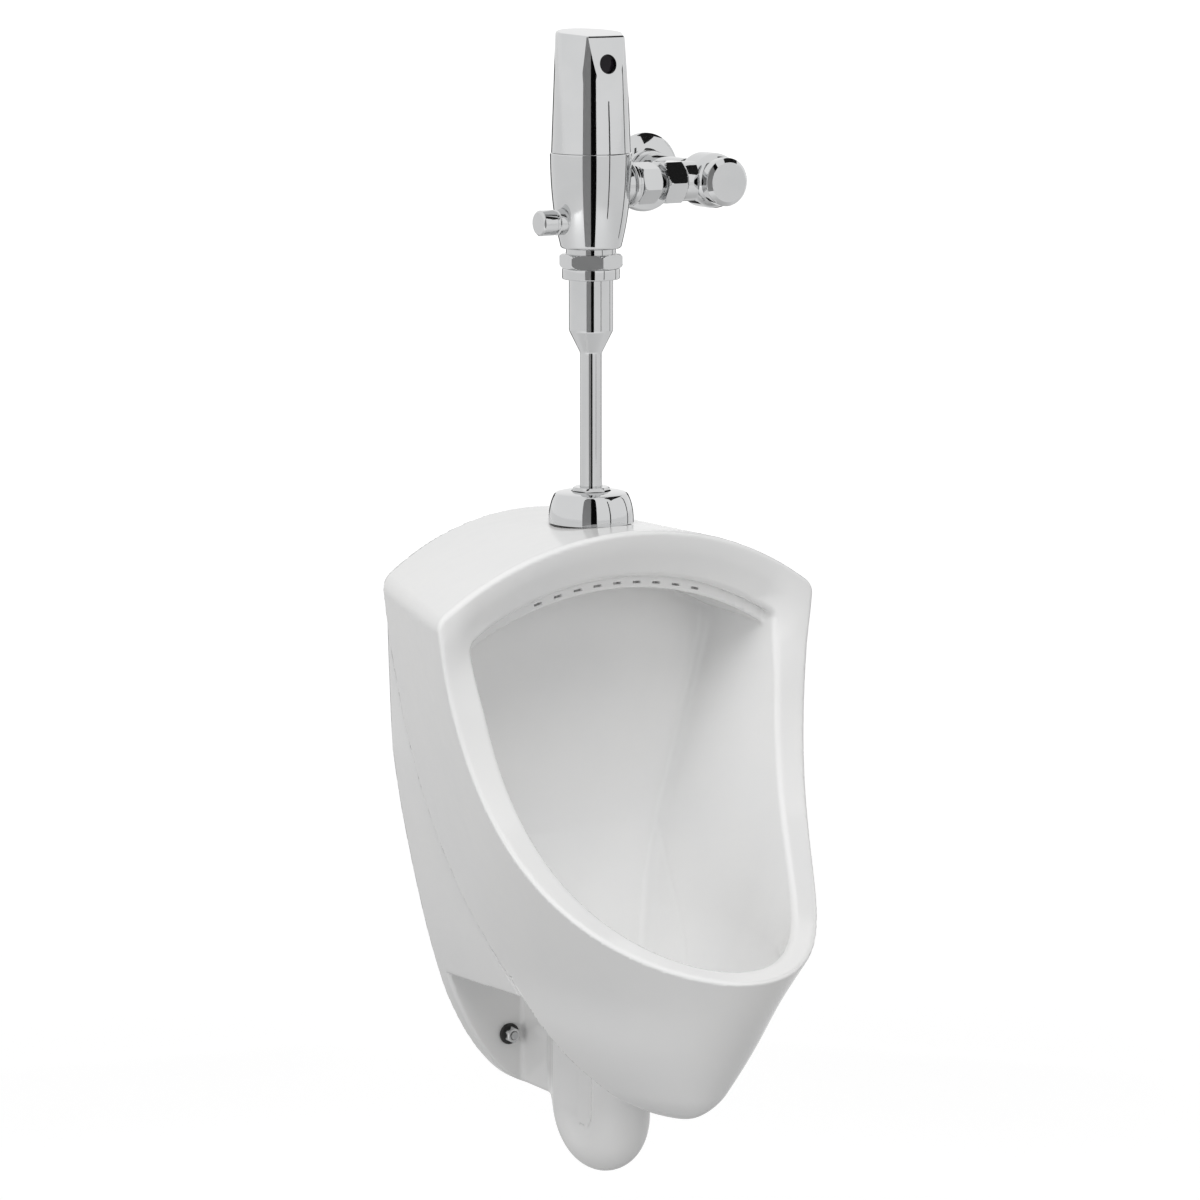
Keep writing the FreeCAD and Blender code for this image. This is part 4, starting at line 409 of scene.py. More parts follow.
def china(x, d, s):
    """The whole china at points given by their distance across, depth and drop."""
    across = np.abs(x)
    shell, hollow = scoop(across, d, s)
    back_leg, front_leg = trap_legs(x, d, s)
    sump = np.sqrt(x**2 + (d - TRAP_FRONT) ** 2 + (s - SUMP_DROP) ** 2) - SUMP_R
    web = brick(x, d, s, WEB_LOW, WEB_HIGH)
    trap = round_join(round_join(back_leg, web, WEB_ROUND), front_leg, LEG_ROUND)
    outlet = round_join(trap, sump, SUMP_ROUND)
    liner = np.maximum(hollow - BOWL_WALL, np.maximum(LINER_DROP - s, d - LINER_DEPTH))
    body = round_join(back_box(across, d, s), outlet, OUTLET_ROUND)
    body = round_join(round_join(body, liner, LINER_ROUND), shell, SHELL_ROUND)
    back_edge = np.hypot(evened(box_side, across, d, s), evened(behind_crease, across, d, s))
    top, foot = DRAIN_DROPS
    drain = np.maximum(np.hypot(x, d - TRAP_FRONT) - DRAIN_R, np.maximum(s - foot, top - s))
    seat = np.maximum(np.hypot(x, s - CHINA_TOP) - SEAT_R, d - SEAT_DEPTH)
    rooms = [
        (back_edge - CREASE_GROOVE, GROOVE_ROUND),
        (hollow, BOWL_ROUND),
        (wash_slots(x, d, s), SLOT_ROUND),
        (d, WALL_ROUND),
        (drain, DRAIN_ROUND),
        (brick(across, d, s, *BACK_HOLLOW), HOLLOW_ROUND),
        (brick(across, d, s, *HANGER_POCKET), POCKET_ROUND),
        (brick(across, d, s, *HANGER_SLOT), POCKET_ROUND),
        (seat, SEAT_ROUND),
    ]
    return carved(body, rooms)


# Mesh of the china: one point to each cell of a grid that the surface crosses

GRAIN = 5.0
GRAIN_MOST = 7.0
FINE_GRAIN = 1.1
FINE_DROPS = (45.0, 65.0)
GRID_HALF = 197.0
GRID_DEPTH = 392.0
GRID_DROP = 590.0
FLAT_ANGLE = math.radians(10)
SPLIT_ANGLE = math.radians(30)
BENT_ANGLE = math.radians(7)
SHARP = 0.86
DAMPING = 0.1
INWARDS = 0.35
CREASE_ROOM = 2.4
SLOT_ROOM = 1.5


def grid_values(field, axes):
    """The field on a grid, worked out closely only near the surface."""
    block = 6
    coarse = field(*np.meshgrid(*[axis[block // 2 :: block] for axis in axes], indexing="ij"))
    blocks = [-(-len(axis) // block) for axis in axes]
    coarse = np.pad(coarse, [(0, n - m) for n, m in zip(blocks, coarse.shape)], mode="edge")
    values = np.kron(coarse, np.ones([block] * 3))
    values = values[tuple(slice(0, len(axis)) for axis in axes)].copy()
    near = np.argwhere(np.abs(values) < block * GRAIN_MOST * 1.3)
    values[tuple(near.T)] = field(*[axis[n] for axis, n in zip(axes, near.T)])
    return values


def crossings(field, axes, values, edges, axis):
    """Where the surface crosses edges of the grid that run along an axis."""
    start = np.stack([line[n] for line, n in zip(axes, edges.T)], 1)
    span = np.zeros_like(start)
    span[:, axis] = axes[axis][edges[:, axis] + 1] - start[:, axis]
    ahead = edges.copy()
    ahead[:, axis] += 1
    near, far = np.zeros(len(edges)), np.ones(len(edges))
    a, b = values[tuple(edges.T)], values[tuple(ahead.T)]
    for _ in range(2):
        share = near + (far - near) * a / (a - b)
        value = field(*(start + span * share[:, None]).T)
        same = (value < 0) == (a < 0)
        near, a = np.where(same, share, near), np.where(same, value, a)
        far, b = np.where(same, far, share), np.where(same, b, value)
    share = near + (far - near) * a / (a - b)
    return start + span * share[:, None]


def cell_mesh(field, axes):
    """Points and four-sided faces on a field's zero level, and which points lie on a sharp edge."""
    values = grid_values(field, axes)
    inside = values < 0
    shape = np.array(values.shape) - 1
    count = np.zeros(shape, np.int8)
    for i, j, k in np.ndindex(2, 2, 2):
        count += inside[i : shape[0] + i, j : shape[1] + j, k : shape[2] + k]
    active = (count > 0) & (count < 8)
    cells = np.argwhere(active)
    number = np.full(shape, -1, np.int64)
    number[active] = np.arange(len(cells))
    hits = np.zeros(len(cells))
    middle, facing, pull = np.zeros((3, len(cells), 3))
    spread = np.zeros((len(cells), 3, 3))
    faces = []
    for axis in range(3):
        u, v = (axis + 1) % 3, (axis + 2) % 3
        edges = np.argwhere(np.diff(inside, axis=axis))
        spots = crossings(field, axes, values, edges, axis)
        slopes = unit(slope_at(field, spots))
        reach = (slopes * spots).sum(1)[:, None]
        ring = []
        for du, dv in ((1, 1), (0, 1), (0, 0), (1, 0)):
            cell = edges.copy()
            cell[:, u] -= du
            cell[:, v] -= dv
            owner = number[tuple(cell.T)]
            ring.append(owner)
            shares = (1, spots, slopes, slopes * reach, slopes[:, :, None] * slopes[:, None, :])
            for total, share in zip((hits, middle, facing, pull, spread), shares):
                np.add.at(total, owner, share)
        quad = np.stack(ring, 1)
        flip = ~inside[tuple(edges.T)]
        quad[flip] = quad[flip][:, ::-1]
        faces.append(quad)
    middle /= hits[:, None]
    pull -= (spread @ middle[:, :, None])[:, :, 0]
    points = middle + np.linalg.solve(spread + DAMPING * np.eye(3), pull[:, :, None])[:, :, 0]
    for axis in range(3):
        first = axes[axis][cells[:, axis]]
        points[:, axis] = np.clip(points[:, axis], first, axes[axis][cells[:, axis] + 1])
    sharp = np.linalg.norm(facing, axis=1) / hits < SHARP
    return points, np.vstack(faces), sharp


def unit(rows):
    return rows / np.maximum(np.linalg.norm(rows, axis=1), 1e-9)[:, None]


def slope_at(field, points):
    """Direction in which a field grows, at each point."""
    half = 0.25
    return np.stack(growth(field, points.T, half), 1) / (2 * half)


def drawn_onto(field, points, step):
    """Points moved along the field's slope until they lie on the surface."""
    for _ in range(2):
        slope = slope_at(field, points)
        size = np.maximum((slope**2).sum(1), 0.05)
        move = slope * (field(*points.T) / size)[:, None]
        length = np.linalg.norm(move, axis=1)[:, None]
        points = points - move * np.minimum(1, step / 2 / np.maximum(length, 1e-9))
    return points


def settled(field, points, faces, sharp, step):
    """Evens out the points between the sharp edges and sets them on the surface."""
    links = np.vstack([faces[:, [i, (i + 1) % 4]] for i in range(4)])
    count = np.bincount(links.ravel(), minlength=len(points))[:, None]
    for _ in range(2):
        total = np.zeros_like(points)
        np.add.at(total, links[:, 0], points[links[:, 1]])
        np.add.at(total, links[:, 1], points[links[:, 0]])
        points = np.where(sharp[:, None], points, points * 0.5 + total / count * 0.5)
        points = drawn_onto(field, points, step)
    return points


def rows_of(items, key, kind=np.float32, width=3):
    """A property of a mesh's items as rows of numbers."""
    flat = np.empty(len(items) * width, kind)
    items.foreach_get(key, flat)
    return flat.reshape(-1, width).astype(float) if width > 1 else flat


def swapped(rows, top=CHINA_TOP):
    """Places in the part's frame as rows of distance across, depth and drop, or those as places."""
    return np.stack([rows[:, 0], -rows[:, 1], top - rows[:, 2]], 1)


def refined(mesh, chosen, cuts):
    """Cuts the chosen faces of a mesh into smaller ones."""
    form = bmesh.new()
    form.from_mesh(mesh)
    form.faces.ensure_lookup_table()
    edges = {edge for number in chosen for edge in form.faces[number].edges}
    edges = sorted(edges, key=lambda edge: edge.index)
    bmesh.ops.subdivide_edges(form, edges=edges, cuts=cuts, use_grid_fill=True)
    form.to_mesh(mesh)
    form.free()


def drawn_back(mesh, step):
    """Sets the mesh's points on the surface again, and gives them as rows for the field."""
    points = drawn_onto(china, swapped(rows_of(mesh.vertices, "co") / MM), step)
    mesh.vertices.foreach_set("co", (swapped(points) * MM).astype(np.float32).ravel())
    mesh.update()
    return points


def corner_directions(field, mesh, points):
    """Direction of the surface at each corner of each face, split along the sharp edges."""
    corner = rows_of(mesh.loops, "vertex_index", np.int32, 1)
    face = np.repeat(np.arange(len(mesh.polygons)), rows_of(mesh.polygons, "loop_total", np.int32, 1))
    smooth = unit(slope_at(field, points))[corner]
    facing = swapped(rows_of(mesh.polygons, "normal"), 0)
    hard = np.flatnonzero((facing[face] * smooth).sum(1) < math.cos(FLAT_ANGLE))
    middle = swapped(rows_of(mesh.polygons, "center") / MM)[face[hard]]
    split = unit(slope_at(field, points[corner[hard]] * (1 - INWARDS) + middle * INWARDS))
    apart = (split * smooth[hard]).sum(1) < math.cos(SPLIT_ANGLE)
    smooth[hard[apart]] = split[apart]
    return smooth


def china_axes(step):
    """Lines of the grid across, out and down, closer together at the wash slots."""
    count = math.ceil(GRID_HALF / step)
    first, last = FINE_DROPS
    above = np.arange(-2 * step, first, step)
    below = np.arange(last, GRID_DROP, step)
    down = np.concatenate([above, np.arange(first, last, FINE_GRAIN), below])
    return [np.arange(-count, count + 1) * step, np.arange(-2 * step, GRID_DEPTH, step), down]


def china_piece(finish):
    """The china as an object: its mesh is cut finer where the surface bends, and at crease and slots."""
    step = GRAIN
    points, faces, sharp = cell_mesh(china, china_axes(step))
    points = settled(china, points, faces, sharp, step)
    mesh = bpy.data.meshes.new("china_body")
    mesh.from_pydata((swapped(points) * MM).tolist(), [], faces.tolist())
    facing = unit(slope_at(china, points))[faces]
    spread = (facing * facing.mean(1, keepdims=True)).sum(2).min(1)
    refined(mesh, np.flatnonzero(spread < math.cos(BENT_ANGLE)), 1)
    drawn_back(mesh, step)
    middle = swapped(rows_of(mesh.polygons, "center") / MM)
    middle[:, 0] = np.abs(middle[:, 0])
    crease = np.maximum(np.abs(scoop(*middle.T)[0]), np.abs(back_box(*middle.T)))
    fine = (crease < CREASE_ROOM) | (np.abs(wash_slots(*middle.T)) < SLOT_ROOM)
    refined(mesh, np.flatnonzero(fine), 2)
    points = drawn_back(mesh, step)
    mesh.shade_smooth()
    directions = swapped(corner_directions(china, mesh, points), 0)
    mesh.normals_split_custom_set(directions.tolist())
    mesh.materials.append(finish)
    return placed("china_body", mesh)


def placed(name, data):
    """An object in the scene for a mesh, curve, lamp or camera."""
    piece = bpy.data.objects.new(name, data)
    bpy.context.scene.collection.objects.link(piece)
    return piece


# Node trees


def feed(node, inputs):
    """Links a node's inputs to sockets or sets them to values."""
    for key, value in inputs.items():
        if isinstance(value, bpy.types.NodeSocket):
            node.id_data.links.new(value, node.inputs[key])
        else:
            node.inputs[key].default_value = value


def add_node(tree, kind, inputs=None, **settings):
    """A node with some settings and inputs."""
    node = tree.nodes.new(kind)
    for key, value in settings.items():
        setattr(node, key, value)
    feed(node, inputs or {})
    return node


def result(tree, kind, inputs=None, **settings):
    """First output of a new node."""
    return add_node(tree, kind, inputs, **settings).outputs[0]


def sums(tree, operation, *values):
    """Output of a Math node."""
    return result(tree, "ShaderNodeMath", dict(enumerate(values)), operation=operation)


def graded(tree, value, start, end, low=0.0, high=1.0):
    """A value mapped from one stretch to another, held at both ends."""
    limits = {"From Min": start, "From Max": end, "To Min": low, "To Max": high}
    return result(tree, "ShaderNodeMapRange", {"Value": value, **limits})


def new_group(name, tree_kind, inputs, outputs):
    """An empty node group with named outputs and inputs, which may have defaults."""
    group = bpy.data.node_groups.new(name, tree_kind)
    for label, kind in outputs:
        group.interface.new_socket(label, in_out="OUTPUT", socket_type="NodeSocket" + kind)
    for label, kind, *default in inputs:
        socket = group.interface.new_socket(label, in_out="INPUT", socket_type="NodeSocket" + kind)
        if default:
            socket.default_value = default[0]
    return group, group.nodes.new("NodeGroupInput").outputs


def object_place(tree):
    return add_node(tree, "ShaderNodeTexCoord").outputs["Object"]


# Finishes

LIMITS = [("Low", "Float", 0.0), ("High", "Float", 1.0)]


def between_limits(group, given, share):
    """A value between a group's Low and High inputs."""
    span = sums(group, "SUBTRACT", given["High"], given["Low"])
    return sums(group, "MULTIPLY_ADD", share, span, given["Low"])


def mottle_group():
    """Soft uneven patches over a surface: a value between two limits and a mix of two colours."""
    inputs = [("Scale", "Float", 10.0), ("Detail", "Float", 4.0)]
    inputs += [(label, "Color", (1, 1, 1, 1)) for label in ("First Colour", "Second Colour")]
    outputs = [("Value", "Float"), ("Colour", "Color")]
    group, given = new_group("mottle", "ShaderNodeTree", inputs + LIMITS, outputs)
    pattern = {"Vector": object_place(group), "Scale": given["Scale"], "Detail": given["Detail"]}
    noise = add_node(group, "ShaderNodeTexNoise", pattern).outputs["Fac"]
    even = graded(group, noise, 0.3, 0.7)
    colours = {"Factor": even, "A": given["First Colour"], "B": given["Second Colour"]}
    mix = add_node(group, "ShaderNodeMix", colours, data_type="RGBA").outputs["Result"]
    add_node(group, "NodeGroupOutput", {"Value": between_limits(group, given, even), "Colour": mix})
    return group


def brushed_group():
    """Fine lines from polishing or machining: a height for bump and a patchy value for gloss."""
    inputs = [("Stretch", "Vector", (1, 1, 1)), ("Scale", "Float", 200.0)]
    outputs = [("Height", "Float"), ("Gloss", "Float")]
    group, given = new_group("brushed", "ShaderNodeTree", inputs + LIMITS, outputs)
    factors = {0: object_place(group), 1: given["Stretch"]}
    drawn = result(group, "ShaderNodeVectorMath", factors, operation="MULTIPLY")
    pattern = {"Vector": drawn, "Scale": given["Scale"], "Detail": 6.0}
    lines = add_node(group, "ShaderNodeTexNoise", pattern).outputs["Fac"]
    add_node(group, "NodeGroupOutput", {"Height": lines, "Gloss": between_limits(group, given, lines)})
    return group


MOTTLE = mottle_group()
BRUSHED = brushed_group()


def finish_start(name, constants):
    """A material, and its shader with the values that are the same all over."""
    finish = bpy.data.materials.new(name)
    finish.use_nodes = True
    shader = finish.node_tree.nodes["Principled BSDF"]
    feed(shader, constants)
    return finish, shader


def use_group(shader, group, values):
    """Outputs of a group beside a shader."""
    return add_node(shader.id_data, "ShaderNodeGroup", values, node_tree=group).outputs


def bump(shader, height, strength, distance=0.0002):
    """Bump from a height, with its distance in metres."""
    values = {"Height": height, "Strength": strength, "Distance": distance}
    feed(shader, {"Normal": result(shader.id_data, "ShaderNodeBump", values)})


def colour(red, green, blue):
    return (red, green, blue, 1)


def grey(shade):
    return colour(shade, shade, shade)


def mottled(shader, scale, first, second, gloss=None):
    """Mottles a shader between two colours and, where limits are given, its roughness between them."""
    values = {"Scale": scale, "First Colour": colour(*first), "Second Colour": colour(*second)}
    if gloss:
        values.update(Low=gloss[0], High=gloss[1])
    tint = use_group(shader, MOTTLE, values)
    feed(shader, {"Base Color": tint["Colour"]})
    if gloss:
        feed(shader, {"Roughness": tint["Value"]})


def glaze_finish():
    """White glaze: a faint warm and cool unevenness, a wavy gloss and a soft ripple."""
    finish, shader = finish_start("white_glaze", {"IOR": 1.52})
    mottled(shader, 9.0, (0.83, 0.832, 0.832), (0.855, 0.853, 0.847), (0.08, 0.16))
    ripple = use_group(shader, MOTTLE, {"Scale": 45.0, "Detail": 1.0})
    bump(shader, ripple["Value"], 0.12, 0.0006)
    return finish


def chrome_finish():
    """Bright chrome plate: nearly even colour, faint patches of wiping and hairlines."""
    finish, shader = finish_start("polished_chrome", {"Metallic": 1.0})
    mottled(shader, 30.0, (0.60, 0.607, 0.612), (0.63, 0.634, 0.638), (0.025, 0.06))
    lines = use_group(shader, BRUSHED, {"Stretch": (1, 1, 14), "Scale": 120.0})
    bump(shader, lines["Height"], 0.015)
    return finish


def metal_finish(name, first, second, gloss, stretch):
    """A machined or satin metal with tool lines."""
    finish, shader = finish_start(name, {"Metallic": 1.0})
    mottled(shader, 60.0, first, second)
    values = {"Stretch": (1, 1, stretch), "Scale": 300.0, "Low": gloss[0], "High": gloss[1]}
    lines = use_group(shader, BRUSHED, values)
    feed(shader, {"Roughness": lines["Gloss"]})
    bump(shader, lines["Height"], 0.15)
    return finish


def soft_finish(name, first, second, gloss, grain, strength, constants=None):
    """A rubber or plastic with a moulded grain."""
    finish, shader = finish_start(name, constants or {})
    mottled(shader, 80.0, first, second, gloss)
    texture = use_group(shader, MOTTLE, {"Scale": grain, "Detail": 2.0})
    bump(shader, texture["Value"], strength)
    return finish


BATTERY_FOOT = 0.7637
BATTERY_TOP = 0.7997


def wrap_finish():
    """A battery's printed wrap: two bands of colour and a thin line between them."""
    finish, shader = finish_start("battery_wrap", {"Coat Weight": 0.3})
    tree = finish.node_tree
    height = add_node(tree, "ShaderNodeSeparateXYZ", {"Vector": object_place(tree)}).outputs["Z"]
    share = graded(tree, height, BATTERY_FOOT, BATTERY_TOP)
    bands = add_node(tree, "ShaderNodeValToRGB", {"Fac": share})
    ramp = bands.color_ramp
    ramp.interpolation = "CONSTANT"
    ramp.elements[0].color = colour(0.04, 0.09, 0.2)
    ramp.elements[1].position = 0.72
    ramp.elements[1].color = colour(0.6, 0.6, 0.58)
    upper = ramp.elements.new(0.75)
    upper.color = colour(0.09, 0.2, 0.4)
    gloss = use_group(shader, MOTTLE, {"Scale": 70.0, "Low": 0.22, "High": 0.38})
    feed(shader, {"Base Color": bands.outputs["Color"], "Roughness": gloss["Value"]})
    return finish


STEEL = [(0.5, 0.51, 0.52), (0.6, 0.6, 0.6), (0.22, 0.42), 9]
BRASS = [(0.6, 0.43, 0.19), (0.72, 0.54, 0.27), (0.18, 0.4), 8]
RUBBER = [(0.018, 0.018, 0.018), (0.035, 0.034, 0.033), (0.5, 0.75), 900.0, 0.25]
PLASTIC = [(0.045, 0.047, 0.05), (0.065, 0.067, 0.07), (0.38, 0.55), 1500.0, 0.2]
LENS = [(0.008, 0.006, 0.009), (0.013, 0.009, 0.014), (0.04, 0.1), 60.0, 0.01]
FINISHES = {
    "china": glaze_finish(),
    "chrome": chrome_finish(),
    "steel": metal_finish("satin_steel", *STEEL),
    "brass": metal_finish("machined_brass", *BRASS),
    "rubber": soft_finish("black_rubber", *RUBBER),
    "plastic": soft_finish("dark_plastic", *PLASTIC),
    "window": soft_finish("sensor_lens", *LENS, {"Specular IOR Level": 0.2}),
    "battery_wrap": wrap_finish(),
}
CHROME = FINISHES["chrome"]


# Turned pieces

AXIS_GAP = 1e-6
MERGE = 4e-6
CORNER_STEPS = 6


def plain_mesh(source):
    """Mesh that an object's modifiers make, after which the object is removed."""
    ready = source.evaluated_get(bpy.context.evaluated_depsgraph_get())
    mesh = bpy.data.meshes.new_from_object(ready)
    source.modifiers.clear()
    bpy.data.objects.remove(source)
    return mesh


def turned_tree():
    """Turns a profile round its axis, mills flats on it where it has any, and sets copies in a row."""
    geometry = ("Geometry", "Geometry")
    inputs = [geometry, ("Turn", "Rotation"), ("Finish", "Material")]
    inputs += [(label, "Int") for label in ("Segments", "Corner Steps", "Copies")]
    inputs += [(label, "Float") for label in ("Flats", "Across Flats", "First Flat")]
    inputs += [(label, "Vector") for label in ("Place", "Spacing")]
    tree, given = new_group("turned_piece", "GeometryNodeTree", inputs, [geometry])
    rounding = result(tree, "GeometryNodeInputNamedAttribute", {"Name": "radius"}, data_type="FLOAT")
    corners = {"Count": given["Corner Steps"], "Radius": rounding, "Limit Radius": True}
    corners["Curve"] = given["Geometry"]
    profile = result(tree, "GeometryNodeFilletCurve", corners, mode="POLY")
    ring = {"Resolution": given["Segments"], "Radius": AXIS_GAP}
    circle = result(tree, "GeometryNodeCurvePrimitiveCircle", ring)
    spun = result(tree, "GeometryNodeCurveToMesh", {"Curve": circle, "Profile Curve": profile})

    spot = result(tree, "GeometryNodeInputPosition")
    x, y, z = add_node(tree, "ShaderNodeSeparateXYZ", {"Vector": spot}).outputs
    angle = sums(tree, "SUBTRACT", sums(tree, "ARCTAN2", y, x), given["First Flat"])
    half = sums(tree, "DIVIDE", math.pi, given["Flats"])
    from_flat = sums(tree, "WRAP", angle, half, sums(tree, "MULTIPLY", half, -1.0))
    to_flat = sums(tree, "MULTIPLY", given["Across Flats"], 0.5)
    reach = sums(tree, "DIVIDE", to_flat, sums(tree, "COSINE", from_flat))
    square = sums(tree, "ADD", sums(tree, "MULTIPLY", x, x), sums(tree, "MULTIPLY", y, y))
    out = sums(tree, "MAXIMUM", sums(tree, "SQRT", square), AXIS_GAP)
    keep = sums(tree, "MINIMUM", sums(tree, "DIVIDE", reach, out), 1.0)
    places = {"X": sums(tree, "MULTIPLY", x, keep), "Y": sums(tree, "MULTIPLY", y, keep), "Z": z}
    milled = result(tree, "ShaderNodeCombineXYZ", places)
    shaped = result(tree, "GeometryNodeSetPosition", {"Geometry": spun, "Position": milled})

    merged = result(tree, "GeometryNodeMergeByDistance", {"Geometry": shaped, "Distance": MERGE})
    pose = {"Geometry": merged, "Translation": given["Place"], "Rotation": given["Turn"]}
    moved = result(tree, "GeometryNodeTransform", pose)
    painted = result(tree, "GeometryNodeSetMaterial", {"Geometry": moved, "Material": given["Finish"]})
    row = result(tree, "GeometryNodeMeshLine", {"Count": given["Copies"], "Offset": given["Spacing"]})
    copies = result(tree, "GeometryNodeInstanceOnPoints", {"Points": row, "Instance": painted})
    real = result(tree, "GeometryNodeRealizeInstances", {"Geometry": copies})
    add_node(tree, "NodeGroupOutput", {"Geometry": real})
    return tree


TURNED = turned_tree()
UP = (0, 0, 0)
ALONG_X = (0, math.pi / 2, 0)
ALONG_MINUS_X = (0, -math.pi / 2, 0)
ALONG_MINUS_Y = (math.pi / 2, 0, 0)
ROUND = (360, 1000, 0)
ALONE = (1, 0)


def turned(profile, place, turn=UP, finish=CHROME, closed=True, milling=ROUND, segments=120, row=ALONE):
    """A turned mesh from a profile of radius, height and corner rounding in millimetres.

    The milling is a number of flats, the size across them and the angle of the first in degrees.
    The row is a number of copies and their spacing across the part.
    """
    curve = bpy.data.curves.new("profile", "CURVE")
    curve.dimensions = "3D"
    spline = curve.splines.new("POLY")
    spline.points.add(len(profile) - 1)
    spline.use_cyclic_u = closed
    for point, corner in zip(spline.points, profile):
        radius, height = corner[:2]
        point.co = (radius * MM, -height * MM, 0, 1)
        point.radius = (corner[2] if len(corner) > 2 else 0) * MM
    flats, across, first = milling
    copies, spacing = row
    values = {
        "Segments": segments,
        "Corner Steps": CORNER_STEPS,
        "Flats": float(flats),
        "Across Flats": across * MM,
        "First Flat": math.radians(first),
        "Turn": turn,
        "Place": [value * MM for value in place],
        "Copies": copies,
        "Spacing": (spacing * MM, 0, 0),
        "Finish": finish,
    }
    source = placed("profile", curve)
    modifier = source.modifiers.new("turn", "NODES")
    modifier.node_group = TURNED
    for item in TURNED.interface.items_tree:
        if item.name in values:
            modifier[item.identifier] = values[item.name]
    return plain_mesh(source)


def finished(name, meshes, edge):
    """One object from meshes of one finish, faces outwards, shaded softly up to an edge angle."""
    form = bmesh.new()
    finish = meshes[0].materials[0]
    for mesh in meshes:
        form.from_mesh(mesh)
        bpy.data.meshes.remove(mesh)
    for face in form.faces:
        face.material_index = 0
    bmesh.ops.recalc_face_normals(form, faces=form.faces)
    joined = bpy.data.meshes.new(name)
    form.to_mesh(joined)
    form.free()
    joined.materials.append(finish)
    joined.shade_smooth()
    joined.set_sharp_from_angle(angle=math.radians(edge))
    return placed(name, joined)


def stands_for(piece, node, body):
    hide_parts(node)
    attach(piece, body)


TURNED_EDGE = 30
MILLED_EDGE = 24
COVER_EDGE = 8


def chrome_piece(node, meshes, edge=TURNED_EDGE, body="fixture"):
    """A chrome piece from some meshes, in place of the node that it is named after."""
    stands_for(finished(node, meshes, edge), node, body)


# Chrome pieces of the valve and tube: heights above the china's top, or distances from the axis

TUBE_R = 9.525
WIDE_R = 19.05
SEAM = 319.5
COVER_FOOT = 319.8
COVER_TOP = 421.8
COVER_R = 34.2
COVER_TAPER = 4.0
COVER_WALL = 2.5
COVER_ROUND = 2.2
COVER_INNER_ROUND = 1.0
ROUGH_DROP = 3.0
TOP_SLOPE = math.tan(math.radians(4.8))
FRONT_FLAT = 23.9
FRONT_LEAN = math.tan(math.radians(8.4))
CHEEK_FLAT = 27.4
CHEEK_LEAN = math.tan(math.radians(4.4))
CHEEK_ANGLE = math.radians(63)
SIDE_ON = math.pi / 2 - 0.1
EDGE_GAP = 0.004
WINDOW = 396.0


def arc(start, handle, end, count=14):
    return [tuple(row) for row in bezier([start, handle, end], count)]


def escutcheon():
    bell = arc((37, 0), (37.4, 13), (32.6, 23.2)) + [(31.6, 24.6)]
    bell += arc((30.5, 25.4), (27, 26.6), (17.2, 27))
    lining = arc((17.2, 25.6), (27, 25.2), (30, 23.6)) + arc((31, 22.5), (35.8, 13), (35.5, 0))
    chrome_piece("spud_escutcheon", [turned(bell + lining, AXIS)])


def spud_nut():
    skirt = [(10.2, 7), (19.5, 7, 0.8), (19.5, 22, 0.8), (10.2, 22)]
    head = [(9.7, 22), (15.6, 22), (16.6, 23), (16.8, 24.4), (16.8, 28.6, 0.6)]
    head += [(15.2, 30.5, 0.5), (9.7, 30.5)]
    parts = [turned(skirt, AXIS), turned(head, AXIS, milling=(6, 29, 12))]
    chrome_piece("spud_coupling_nut", parts)


def tube():
    outer = [(TUBE_R, -16, 0.4), (TUBE_R, 147.5, 5), (WIDE_R, 166.5, 5), (WIDE_R, 222, 0.2)]
    collar = [(21.3, 222, 0.3), (21.3, 224.5, 0.3)]
    inner = [(18.1, 224.5), (18.1, 168), (8.6, 149), (8.6, -16)]
    chrome_piece("flush_tube", [turned(outer + collar + inner, AXIS)])


def outlet_nut():
    half = 27.42
    skirt = [(19.3, 211), (24.85, 211, 1.2), (24.85, 220.4, 0.8), (19.3, 220.4)]
    head = arc((23.4, 220.2), (26.4, 220.8), (half, 223), 6) + [(half, 226), (half, 230.2)]
    head += arc((half, 230.4), (26.2, 232.6), (23.2, 233), 6) + [(21.7, 233), (21.7, 220.2)]
    milled = turned(head, AXIS, milling=(6, 47.5, 51), segments=240)
    chrome_piece("outlet_coupling_nut", [turned(skirt, AXIS), milled], MILLED_EDGE)


def barrel():
    side = [(16, 231), (21.5, 231), (21.5, 237.5, 0.3), (26.0, 237.5, 3.0)]
    side += arc((26.9, 241.8), (35.0, 274), (35.2, 318), 40) + [(35.2, SEAM, 0.7)]
    inner = [(31.4, SEAM, 0.5), (31.4, 300), (24, 290), (16, 250)]
    boss = [(15.2, 18), (16.6, 18), (16.6, 35.6, 0.6), (19.5, 35.6, 1.6), (19.5, 40.4, 1.6)]
    boss += [(16.6, 40.4, 0.6), (16.6, 44, 0.8), (13.3, 44), (13.3, 18)]
    parts = [turned(side + inner, AXIS, segments=160), turned(boss, INLET, ALONG_X)]
    chrome_piece("valve_body", parts)


